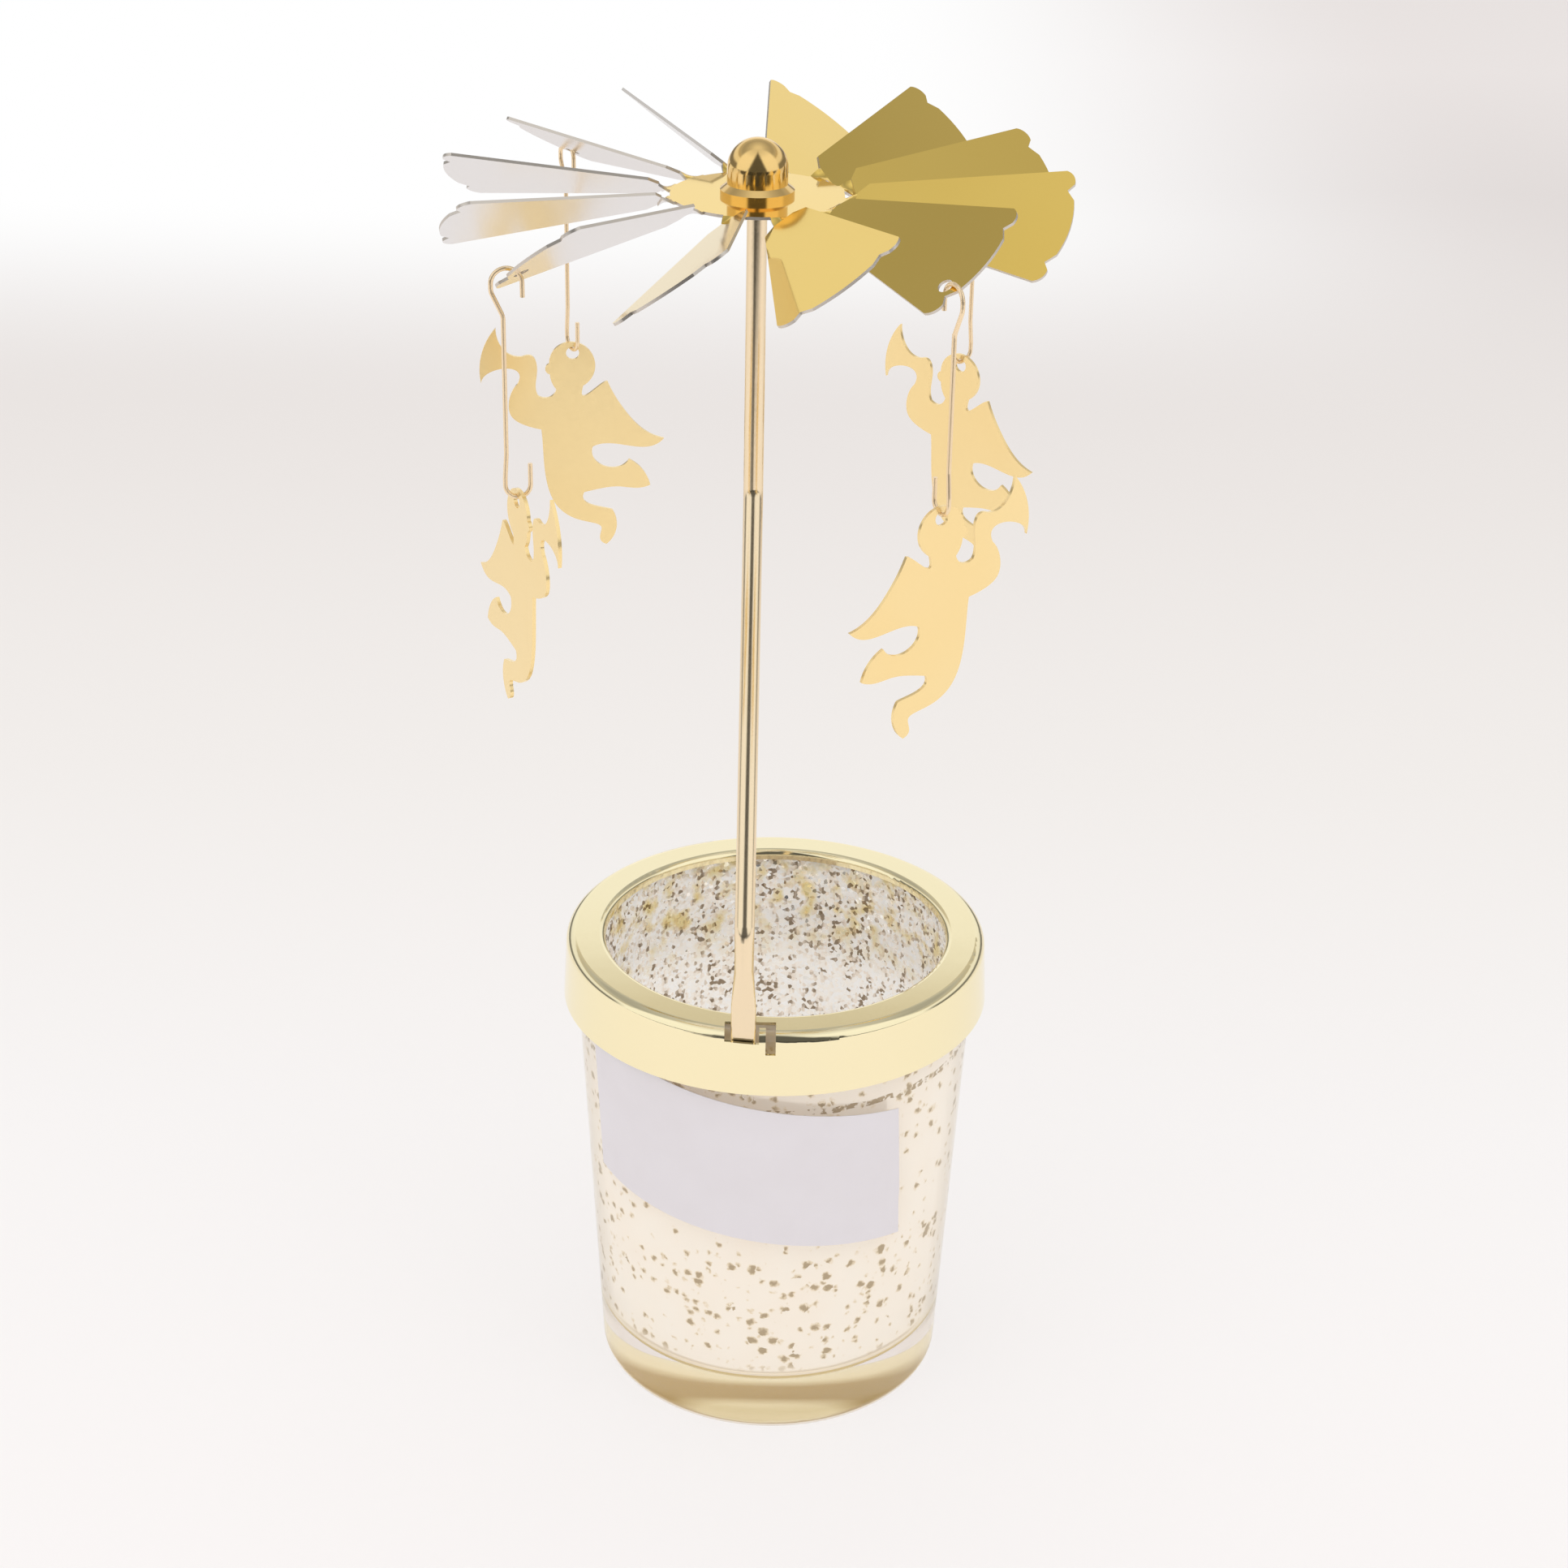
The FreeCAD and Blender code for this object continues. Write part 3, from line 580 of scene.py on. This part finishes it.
@dataclass(frozen=True)
class LabelPaper(Finish):
    """Uncoated white label paper: matt, faintly fibrous and a little cool beside the gold.

    Attributes:
        white: Colour of the sheet.
        shade: Colour of its thinner clouds.
        glow: Colour of the light that passes the sheet.
        through: Share of the light that passes it.
        cloud: Size of a cloud in the sheet.
        fibre: Length of a fibre, drawn three times as coarse as real so that it shows.
        fibre_depth: Height of a fibre.
        fibre_strength: Share of the fibres' relief that shows.
        roughness: Roughness of the sheet.
        sheen: Level of its mirrored light.
    """

    name: str = "label_paper"
    white: str = "#EAE6EA"
    shade: str = "#E4DFE2"
    glow: str = "#FFF6EC"
    through: float = 0.6
    cloud: float = 7 * MM
    fibre: float = 0.6 * MM
    fibre_depth: float = 0.01 * MM
    fibre_strength: float = 0.5
    roughness: float = 0.75
    sheen: float = 0.3

    def surface(self, tree: Tree, place: Source) -> Source:
        """Builds the clouded sheet with its fibres."""
        cloud = add_node(tree, "TexNoise", {
            "Vector": place, "Scale": 1 / self.cloud, "Detail": 3.0})
        fibre = add_node(tree, "TexNoise", {
            "Vector": place, "Scale": 1 / self.fibre, "Detail": 4.0})
        colour = add_node(tree, "Mix", {
            "Factor": cloud, "A": self.white, "B": self.shade}, data_type="RGBA")
        bump = add_node(tree, "Bump", {
            "Height": fibre, "Strength": self.fibre_strength, "Distance": self.fibre_depth})
        sheet = add_node(tree, "BsdfPrincipled", {
            "Base Color": colour, "Roughness": self.roughness, "Specular IOR Level": self.sheen,
            "Normal": bump})
        return let_light_pass(tree, sheet, self.glow, self.through)


class Metal(Enum):
    """The plated metals of the carousel."""

    SHEET = PlatedMetal("gilt_sheet", "#FCDB7A", "#F9D56E", 0.08, bare="#EDEBEC")
    COLLAR = PlatedMetal("polished_collar", "#FEF4CE", "#FDF0C4", 0.07)
    DOME = PlatedMetal("polished_dome", "#FAD791", "#F6CE82", 0.13)
    STEM = PlatedMetal("gilt_rod", "#FBEACB", "#F6DFB8", 0.20)
    HOOK = PlatedMetal("gilt_wire", "#FBE6C4", "#F8DCB2", 0.22, metallic=0.7)
    FIGURE = PlatedMetal("satin_figure", "#FFE7AE", "#FFE1A0", 0.18, metallic=0.65, wave=4 * MM,
                         wave_depth=0.012 * MM)


def dress(node: str, material: bpy.types.Material) -> None:
    """Gives a carried-over node its material.

    Args:
        node: The node's name.
        material: What it is made of.
    """
    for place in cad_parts[node].material_slots:
        place.material = material
    log.info("dressed %s in %s", node, material.name)


def finish_piece(piece: bpy.types.Object, name: str, body: str) -> None:
    """Names a modelled piece, settles its place in its mesh and sets it on its body.

    Args:
        piece: The piece.
        name: Its name.
        body: The body that it rides on.
    """
    bpy.ops.object.select_all(action="DESELECT")
    piece.select_set(True)
    bpy.context.view_layer.objects.active = piece
    bpy.ops.object.transform_apply(location=True, rotation=True, scale=True)
    bpy.ops.object.shade_smooth_by_angle(angle=SMOOTH_ANGLE)
    piece.name = name
    piece.data.name = name
    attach(piece, body)
    log.info("built %s with %d faces on %s", name, len(piece.data.polygons), body)


@dataclass
class CandleCup:
    """Glass cup with its crackled coating and its blank paper label.

    Attributes:
        glass: Finish of the cup.
        coat_back: Finish of the coating towards the glass.
        coat_face: Finish of the coating towards the candle.
        paper: Finish of the label.
        wall: Thickness of the glass wall.
        floor_height: Height of the cup's floor.
        foot_radius: Outer radius at the foot, where the cone starts.
        band_height: Height of the straight band under the rim.
        well_rounding: Rounding between the floor and the wall.
        coat_depth: Depth of the coating's back in the glass, to which it is fused.
        coat_thickness: Thickness of the coating, whose face lies just inside the well.
        coat_below_rim: How far below the rim the coating ends.
        segments: Sides of the coating's circles.
        rounding_steps: Rings in the rounding.
        cone_steps: Rings up the cone.
        label_corners: Turn about the axis, from the front, and height of the label's corners: lower
            left, lower right, upper right and upper left.
        label_cells: Cells across the label and up it.
        label_start_gap: Gap from which the label is laid on the wall.
        label_gap: Gap between the glass and the label.
        label_thickness: Thickness of the paper.
    """

    glass: PressedGlass = field(default_factory=PressedGlass)
    coat_back: FoilBack = field(default_factory=FoilBack)
    coat_face: CrackleFoil = field(default_factory=CrackleFoil)
    paper: LabelPaper = field(default_factory=LabelPaper)
    wall: float = 2.6 * MM
    floor_height: float = 8.2 * MM
    foot_radius: float = 25.6 * MM
    band_height: float = 10.4 * MM
    well_rounding: float = 2.5 * MM
    coat_depth: float = 0.06 * MM
    coat_thickness: float = 0.12 * MM
    coat_below_rim: float = 1.2 * MM
    segments: int = 192
    rounding_steps: int = 6
    cone_steps: int = 12
    label_corners: tuple[Span, ...] = (
        (math.radians(-62.5), 38.6 * MM), (math.radians(43.0), 32.3 * MM),
        (math.radians(38.8), 54.8 * MM), (math.radians(-62.5), 62.5 * MM))
    label_cells: tuple[int, int] = (84, 40)
    label_start_gap: float = 1 * MM
    label_gap: float = 0.05 * MM
    label_thickness: float = 0.10 * MM

    def build(self) -> None:
        """Dresses the cup and builds what lies on it."""
        dress("glass_cup", self.glass.material())
        self.build_coating()
        self.build_label()

    def rim(self) -> tuple[float, float]:
        """Outer radius and height of the rim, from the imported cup."""
        low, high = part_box("glass_cup")
        return (high.x - low.x) / 2, high.z

    def coating_rings(self) -> list[tuple[float, float]]:
        """Radius and height of the rings of the coating's back, from the floor to the rim."""
        band_radius, rim_height = self.rim()
        cone_top = rim_height - self.band_height
        slope = (band_radius - self.foot_radius) / cone_top
        inset = self.wall - self.coat_depth
        floor = self.floor_height - self.coat_depth
        rounding = self.well_rounding + self.coat_depth
        knee_height = floor + rounding
        knee_radius = self.foot_radius + slope * knee_height - inset
        rings = []
        for step in range(self.rounding_steps + 1):
            turn = math.radians(90) * step / self.rounding_steps
            rings.append((knee_radius - rounding * (1 - math.sin(turn)),
                          floor + rounding * (1 - math.cos(turn))))
        top_radius = band_radius - inset
        for step in range(1, self.cone_steps + 1):
            share = step / self.cone_steps
            rings.append((knee_radius + (top_radius - knee_radius) * share,
                          knee_height + (cone_top - knee_height) * share))
        rings.append((top_radius, rim_height - self.coat_below_rim))
        return rings

    def build_coating(self) -> None:
        """Models the coating as one thin shell that follows the inside of the glass."""
        rings = self.coating_rings()
        radius, height = rings[0]
        bpy.ops.mesh.primitive_circle_add(
            vertices=self.segments, radius=radius, fill_type="TRIFAN", location=(0, 0, height))
        piece = bpy.context.object
        bpy.ops.object.transform_apply(location=True)
        bpy.ops.object.mode_set(mode="EDIT")
        bpy.ops.mesh.select_all(action="SELECT")
        bpy.ops.mesh.region_to_loop()
        for next_radius, next_height in rings[1:]:
            bpy.ops.mesh.extrude_region_move(
                TRANSFORM_OT_translate={"value": (0, 0, next_height - height)})
            share = next_radius / radius
            bpy.ops.transform.resize(value=(share, share, 1.0), center_override=ORIGIN)
            radius, height = next_radius, next_height
        bpy.ops.mesh.select_all(action="SELECT")
        bpy.ops.mesh.normals_make_consistent(inside=False)
        bpy.ops.object.mode_set(mode="OBJECT")
        piece.data.materials.append(self.coat_back.material())
        piece.data.materials.append(self.coat_face.material())
        shell = piece.modifiers.new("coat", "SOLIDIFY")
        shell.thickness = self.coat_thickness
        shell.offset = -1.0
        shell.material_offset = 1
        bpy.ops.object.modifier_apply(modifier=shell.name)
        finish_piece(piece, "crackle_coating", "cup")

    def build_label(self) -> None:
        """Models the label as a flat sheet, laid round the cup's wall."""
        start_radius = self.rim()[0] + self.label_start_gap
        low_left, low_right, high_right, high_left = (Vector(place) for place in self.label_corners)
        across_cells, up_cells = self.label_cells
        bpy.ops.mesh.primitive_grid_add(
            x_subdivisions=across_cells, y_subdivisions=up_cells, size=1.0)
        piece = bpy.context.object
        for point in piece.data.vertices:
            across, up = point.co.x + 0.5, point.co.y + 0.5
            turn, height = low_left.lerp(low_right, across).lerp(high_left.lerp(high_right, across), up)
            point.co = Vector((math.sin(turn), -math.cos(turn), 0)) * start_radius
            point.co.z = height
        wrap = piece.modifiers.new("wrap", "SHRINKWRAP")
        wrap.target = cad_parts["glass_cup"]
        wrap.wrap_method = "NEAREST_SURFACEPOINT"
        wrap.wrap_mode = "ABOVE_SURFACE"
        wrap.offset = self.label_gap
        bpy.ops.object.modifier_apply(modifier=wrap.name)
        sheet = piece.modifiers.new("sheet", "SOLIDIFY")
        sheet.thickness = self.label_thickness
        sheet.offset = 1.0
        bpy.ops.object.modifier_apply(modifier=sheet.name)
        piece.data.materials.append(self.paper.material())
        finish_piece(piece, "paper_label", "cup")


@dataclass
class CollarAndStem:
    """Pressed collar and the wire stem in its notch."""

    collar: Metal = Metal.COLLAR
    stem: Metal = Metal.STEM

    def build(self) -> None:
        """Dresses both pieces."""
        dress("collar_ring", self.collar.value.material())
        dress("stem", self.stem.value.material())


@dataclass
class FanHead:
    """Bladed fan and the dome over its needle."""

    sheet: Metal = Metal.SHEET
    dome: Metal = Metal.DOME

    def build(self) -> None:
        """Dresses both pieces."""
        dress("fan_rotor", self.sheet.value.material())
        dress("dome_cap", self.dome.value.material())


@dataclass
class Hangers:
    """Four wire hooks and the sheet figures on them."""

    wire: Metal = Metal.HOOK
    figure: Metal = Metal.FIGURE

    def build(self) -> None:
        """Dresses every hook and figure."""
        wire = self.wire.value.material()
        figure = self.figure.value.material()
        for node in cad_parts:
            if node.startswith("hook_"):
                dress(node, wire)
            elif node.startswith("angel_"):
                dress(node, figure)


@dataclass(frozen=True)
class PaleTable(Finish):
    """White paper on a light table, whitest at the back left, with a painted reflection of a dark room
    in front.

    Attributes:
        tones: Colours of the paper from front to back.
        tone_depths: Where the first of them lies and where the last.
        backlit_depths: Where a window behind the paper sets in and where it is brightest.
        backlit_sides: The same from right to left.
        painted_room_depths: Where the painted reflection of a dark room sets in: past it the paper is
            drawn dark for mirrored rays alone, so the metal mirrors dark past the white table.
        painted_room_level: Level of that painted reflection.
        painted_stand_middle: Middle of the painted reflection of the camera's dark stand, drawn on the
            paper at its left front for mirrored rays alone, which the stem mirrors.
        painted_stand_sides: Where that painted stand sets in on each side of its middle.
        painted_stand_depths: Where it sets in from the back.
        painted_stand_shade: How dark that painted reflection is.
        roughness: Roughness of the paper.
        lift: Share by which the light table takes the cup's shadow away.
        lift_depths: Where the light table sets in and where it is brightest.
        foot_glow: Colour of the light that the cup's gold throws on the paper under it.
        foot_glow_radii: Where that spot sets in.
    """

    name: str = "pale_table"
    tones: Stops = ((0.0, "#FCF8F7"), (0.16, "#F9F6F5"), (0.3, "#F3EFEC"), (0.48, "#EEE9E6"),
                    (0.8, "#E9E3E1"), (1.0, "#F3EDEB"))
    tone_depths: Span = (-100 * MM, 900 * MM)
    backlit_depths: Span = (430 * MM, 660 * MM)
    backlit_sides: Span = (280 * MM, 20 * MM)
    painted_room_depths: Span = (-500 * MM, -540 * MM)
    painted_room_level: float = 0.05
    painted_stand_middle: float = -135 * MM
    painted_stand_sides: Span = (140 * MM, 100 * MM)
    painted_stand_depths: Span = (-230 * MM, -270 * MM)
    painted_stand_shade: float = 0.85
    roughness: float = 0.9
    lift: float = 0.6
    lift_depths: Span = (550 * MM, 0.0)
    foot_glow: str = "#FBEBC4"
    foot_glow_radii: Span = (26 * MM, 24 * MM)

    def surface(self, tree: Tree, place: Source) -> Source:
        """Builds the paper, which shines by itself where the light table is on."""
        axes = add_node(tree, "SeparateXYZ", {"Vector": place}).outputs
        path = add_node(tree, "LightPath", {}).outputs
        window = self.window(tree, axes["X"], axes["Y"])
        depth = add_node(tree, "MapRange", {"Value": axes["Y"]}, span=self.tone_depths)
        tone = add_node(tree, "ValToRGB", {"Fac": depth}, stops=self.tones)
        colour = add_node(tree, "Mix", {
            "Factor": window, "A": tone, "B": grey(1.0)}, data_type="RGBA")
        # Painted reflection: for mirrored rays alone, the paper turns dark where the room in front and
        # the camera's stand would be.
        painted_dark_reflection = self.painted_dark_reflection(tree, axes["X"], axes["Y"])
        painted_dark_reflection = add_node(tree, "Math", {0: painted_dark_reflection, 1: path["Is Glossy Ray"]}, operation="MULTIPLY")
        mirrored = add_node(tree, "Mix", {
            "Factor": painted_dark_reflection, "A": colour, "B": grey(self.painted_room_level)}, data_type="RGBA")
        paper = add_node(tree, "BsdfPrincipled", {
            "Base Color": mirrored, "Roughness": self.roughness, "Specular IOR Level": 0.0})
        lift = add_node(tree, "MapRange", {
            "Value": axes["Y"], "To Max": self.lift}, span=self.lift_depths)
        lift = add_node(tree, "Math", {0: lift, 1: window}, operation="MAXIMUM")
        direct = add_node(tree, "Math", {
            0: path["Is Camera Ray"], 1: path["Is Transmission Ray"]}, operation="MAXIMUM")
        lift = add_node(tree, "Math", {0: lift, 1: direct}, operation="MULTIPLY")
        from_axis = add_node(tree, "VectorMath", {0: place}, operation="LENGTH")
        under = add_node(tree, "MapRange", {"Value": from_axis}, span=self.foot_glow_radii)
        through = add_node(tree, "Math", {
            0: path["Is Diffuse Ray"], 1: path["Is Transmission Ray"]}, operation="MAXIMUM")
        spot = add_node(tree, "Math", {0: under, 1: through}, operation="MULTIPLY")
        bright = add_node(tree, "Mix", {
            "Factor": spot, "A": colour, "B": self.foot_glow}, data_type="RGBA")
        light = add_node(tree, "Emission", {"Color": bright})
        shine = add_node(tree, "Math", {0: lift, 1: spot}, operation="MAXIMUM")
        return add_node(tree, "MixShader", {"Fac": shine, 1: paper, 2: light})

    def window(self, tree: Tree, across: Source, depth: Source) -> Source:
        """Finds the light of the window, which is brightest at the back left.

        Args:
            tree: The material's node tree.
            across: Place across the table.
            depth: Place from its front to its back.

        Returns:
            Share of that light.
        """
        behind = add_node(tree, "MapRange", {"Value": depth}, span=self.backlit_depths,
                          interpolation_type="SMOOTHSTEP")
        left = add_node(tree, "MapRange", {"Value": across}, span=self.backlit_sides,
                        interpolation_type="SMOOTHSTEP")
        return add_node(tree, "Math", {0: behind, 1: left}, operation="MULTIPLY")

    def painted_dark_reflection(self, tree: Tree, across: Source, depth: Source) -> Source:
        """Finds where the paper is drawn dark for mirrored rays alone: painted reflections of the
        room in front and of the camera's stand.

        Args:
            tree: The material's node tree.
            across: Place across the table.
            depth: Place from its front to its back.

        Returns:
            Mask of the painted reflections.
        """
        beyond = add_node(tree, "MapRange", {"Value": depth}, span=self.painted_room_depths)
        aside = add_node(tree, "Math", {0: across, 1: self.painted_stand_middle}, operation="SUBTRACT")
        aside = add_node(tree, "Math", {0: aside}, operation="ABSOLUTE")
        within = add_node(tree, "MapRange", {
            "Value": aside, "To Max": self.painted_stand_shade}, span=self.painted_stand_sides,
            interpolation_type="SMOOTHSTEP")
        near = add_node(tree, "MapRange", {"Value": depth}, span=self.painted_stand_depths)
        stand = add_node(tree, "Math", {0: within, 1: near}, operation="MULTIPLY")
        return add_node(tree, "Math", {0: beyond, 1: stand}, operation="MAXIMUM")


@dataclass(frozen=True)
class LightTent:
    """Tent of white cloth: even light, and what bright metal mirrors of its panels and opening.

    Heights and sides are those of the direction, from -1 to 1.

    Attributes:
        name: The world's name.
        light: Level of the tent's scattered light.
        backdrop: Colour that the camera sees past the table.
        rear: Levels of the rear panel by height, with a warm strip over the table's edge.
        front: Levels of the front panel by height.
        turn: Where the rear panel gives way to the front one.
        side_fall: Where the rear panel starts to darken to its sides and where it ends.
        side_level: Level that is left there.
        gap_sides: Where a dark gap starts beside the rear panel.
        gap_heights: Where that gap starts below.
        gap_level: Level of the gap.
        slit_width: Half the width of the opening at the height of the eye.
        slit_power: How the opening narrows to the top.
        slit_edge: Way in from its edge to its full dark.
        slit_level: Level of the opening, which the camera looks through.
    """

    name: str = "light_tent"
    light: float = 0.86
    backdrop: str = "#E8E1DF"
    rear: Stops = (
        (0.0, grey(1.0)), (0.482, grey(0.93)), (0.502, (0.62, 0.57, 0.48, 1.0)),
        (0.54, (0.58, 0.54, 0.47, 1.0)), (0.62, grey(0.54)), (0.70, grey(0.44)),
        (0.79, grey(0.46)), (0.93, grey(0.62)), (1.0, grey(0.80)))
    front: Stops = ((0.0, grey(0.95)), (0.75, grey(0.98)), (1.0, grey(0.72)))
    turn: Span = (0.05, -0.15)
    side_fall: Span = (0.1, 0.4)
    side_level: float = 0.9
    gap_sides: Span = (0.20, 0.32)
    gap_heights: Span = (0.30, 0.16)
    gap_level: float = 0.22
    slit_width: float = 0.68
    slit_power: float = 0.65
    slit_edge: Span = (0.0, 0.16)
    slit_level: float = 0.11

    def build(self) -> None:
        """Builds the tent as the scene's world."""
        world = bpy.data.worlds.new(self.name)
        world.use_nodes = True
        bpy.context.scene.world = world
        tree = world.node_tree
        tree.nodes.clear()
        heading = add_node(tree, "TexCoord", {}).outputs["Generated"]
        axes = add_node(tree, "SeparateXYZ", {"Vector": heading}).outputs
        side = add_node(tree, "Math", {0: axes["X"]}, operation="ABSOLUTE")
        forward = add_node(tree, "MapRange", {"Value": axes["Y"]}, span=self.turn,
                           interpolation_type="SMOOTHSTEP")
        rear = self.rear_panel(tree, axes["Z"], side)
        front = add_node(tree, "ValToRGB", {"Fac": axes["Z"]}, stops=self.front)
        panels = add_node(tree, "Mix", {"Factor": forward, "A": rear, "B": front}, data_type="RGBA")
        slit = self.opening(tree, axes["Z"], side)
        slit = add_node(tree, "Math", {0: slit, 1: forward}, operation="MULTIPLY")
        mirrored = add_node(tree, "Mix", {
            "Factor": slit, "A": panels, "B": grey(self.slit_level)}, data_type="RGBA")
        path = add_node(tree, "LightPath", {}).outputs
        direct = add_node(tree, "Math", {
            0: path["Is Camera Ray"], 1: path["Is Transmission Ray"]}, operation="MAXIMUM")
        shown = add_node(tree, "Mix", {
            "Factor": direct, "A": mirrored, "B": self.backdrop}, data_type="RGBA")
        seen = add_node(tree, "Background", {"Color": shown})
        light = add_node(tree, "Background", {"Color": grey(1.0), "Strength": self.light})
        both = add_node(tree, "MixShader", {"Fac": path["Is Diffuse Ray"], 1: seen, 2: light})
        add_node(tree, "OutputWorld", {"Surface": both})

    def rear_panel(self, tree: Tree, height: Source, side: Source) -> Source:
        """Lights the rear panel, darker to its sides and with a gap low beside it.

        Args:
            tree: The world's node tree.
            height: Height of the direction.
            side: How far the direction points aside.

        Returns:
            Colour of the panel.
        """
        rear = add_node(tree, "ValToRGB", {"Fac": height}, stops=self.rear)
        fall = add_node(tree, "MapRange", {
            "Value": side, "To Min": 1.0, "To Max": self.side_level}, span=self.side_fall)
        rear = add_node(tree, "Mix", {"Factor": 1.0, "A": rear, "B": fall},
                        data_type="RGBA", blend_type="MULTIPLY")
        aside = add_node(tree, "MapRange", {"Value": side}, span=self.gap_sides,
                         interpolation_type="SMOOTHSTEP")
        low = add_node(tree, "MapRange", {"Value": height}, span=self.gap_heights,
                       interpolation_type="SMOOTHSTEP")
        gap = add_node(tree, "Math", {0: aside, 1: low}, operation="MULTIPLY")
        return add_node(tree, "Mix", {
            "Factor": gap, "A": rear, "B": grey(self.gap_level)}, data_type="RGBA")

    def opening(self, tree: Tree, height: Source, side: Source) -> Source:
        """Cuts the opening in the front, which narrows to the tent's top.

        Args:
            tree: The world's node tree.
            height: Height of the direction.
            side: How far the direction points aside.

        Returns:
            Mask of the opening.
        """
        below_top = add_node(tree, "Math", {0: 1.0, 1: height}, operation="SUBTRACT",
                             use_clamp=True)
        narrowed = add_node(tree, "Math", {0: below_top, 1: self.slit_power}, operation="POWER")
        width = add_node(tree, "Math", {0: narrowed, 1: self.slit_width}, operation="MULTIPLY")
        within = add_node(tree, "Math", {0: width, 1: side}, operation="SUBTRACT")
        return add_node(tree, "MapRange", {"Value": within}, span=self.slit_edge,
                        interpolation_type="SMOOTHSTEP")


@dataclass
class Studio:
    """Table, light tent, lamps and camera.

    Attributes:
        table: Finish of the table.
        tent: The light tent round it.
        table_size: Side of the table.
        table_drop: How far the table lies under the foot, so that the two don't share one plane.
        lamps: Names and places of the lamps.
        lamp_size: Width of a lamp.
        lamp_power: Power of a lamp.
        lamp_aim: Point at which the lamps are aimed.
        camera_place: Where the camera stands.
        camera_pitch: How far it looks down.
        camera_roll: How far it is tilted about its own line of sight.
        camera_clip: Nearest distance that it shows.
        focal_length: Focal length on the sensor, in millimetres.
        sensor: Width of the sensor, in millimetres.
    """

    table: PaleTable = field(default_factory=PaleTable)
    tent: LightTent = field(default_factory=LightTent)
    table_size: float = 8.0
    table_drop: float = 0.03 * MM
    lamps: tuple[tuple[str, tuple[float, float, float]], ...] = (
        ("lamp_left", (-0.7, -0.5, 0.8)), ("lamp_right", (0.75, -0.45, 0.8)),
        ("lamp_top", (-0.1, 0.35, 1.1)))
    lamp_size: float = 0.7
    lamp_power: float = 0.9
    lamp_aim: tuple[float, float, float] = (0.0, 0.0, 90 * MM)
    camera_place: tuple[float, float, float] = (0.8 * MM, -388.5 * MM, 283.5 * MM)
    camera_pitch: float = math.radians(25.9)
    camera_roll: float = math.radians(1.098)
    camera_clip: float = 10 * MM
    focal_length: float = 69.37
    sensor: float = 36.0

    def build(self) -> None:
        """Sets the whole studio."""
        self.build_table()
        self.tent.build()
        self.build_lamps()
        self.build_camera()
        bpy.context.scene.view_settings.view_transform = "Standard"

    def build_table(self) -> None:
        """Lays the table."""
        bpy.ops.mesh.primitive_plane_add(size=self.table_size, location=(0, 0, -self.table_drop))
        floor = bpy.context.object
        floor.name = "table_top"
        bpy.ops.object.transform_apply(location=True)
        floor.data.materials.append(self.table.material())

    def build_lamps(self) -> None:
        """Hangs three broad lamps, which the metal doesn't mirror because the tent hides them."""
        for name, place in self.lamps:
            lamp = bpy.data.lights.new(name, "AREA")
            lamp.shape = "DISK"
            lamp.size = self.lamp_size
            lamp.energy = self.lamp_power
            hung = bpy.data.objects.new(name, lamp)
            hung.location = place
            sight = Vector(self.lamp_aim) - Vector(place)
            hung.rotation_euler = sight.to_track_quat("-Z", "Y").to_euler()
            hung.visible_glossy = False
            bpy.context.scene.collection.objects.link(hung)

    def build_camera(self) -> None:
        """Stands the camera where the photograph was taken from."""
        lens = bpy.data.cameras.new("camera")
        lens.lens = self.focal_length
        lens.sensor_width = self.sensor
        lens.clip_start = self.camera_clip
        camera = bpy.data.objects.new("camera", lens)
        camera.matrix_world = (
            Matrix.Translation(self.camera_place)
            @ Matrix.Rotation(math.pi / 2 - self.camera_pitch, 4, "X")
            @ Matrix.Rotation(self.camera_roll, 4, "Z"))
        bpy.context.scene.collection.objects.link(camera)
        bpy.context.scene.camera = camera


def main() -> None:
    """Builds the carousel's sub-assemblies in order and sets the studio round them."""
    logging.basicConfig(level=logging.INFO, format="%(message)s")
    for assembly in (CandleCup(), CollarAndStem(), FanHead(), Hangers(), Studio()):
        assembly.build()
        log.info("finished %s", type(assembly).__name__)


if __name__ == "__main__":
    main()
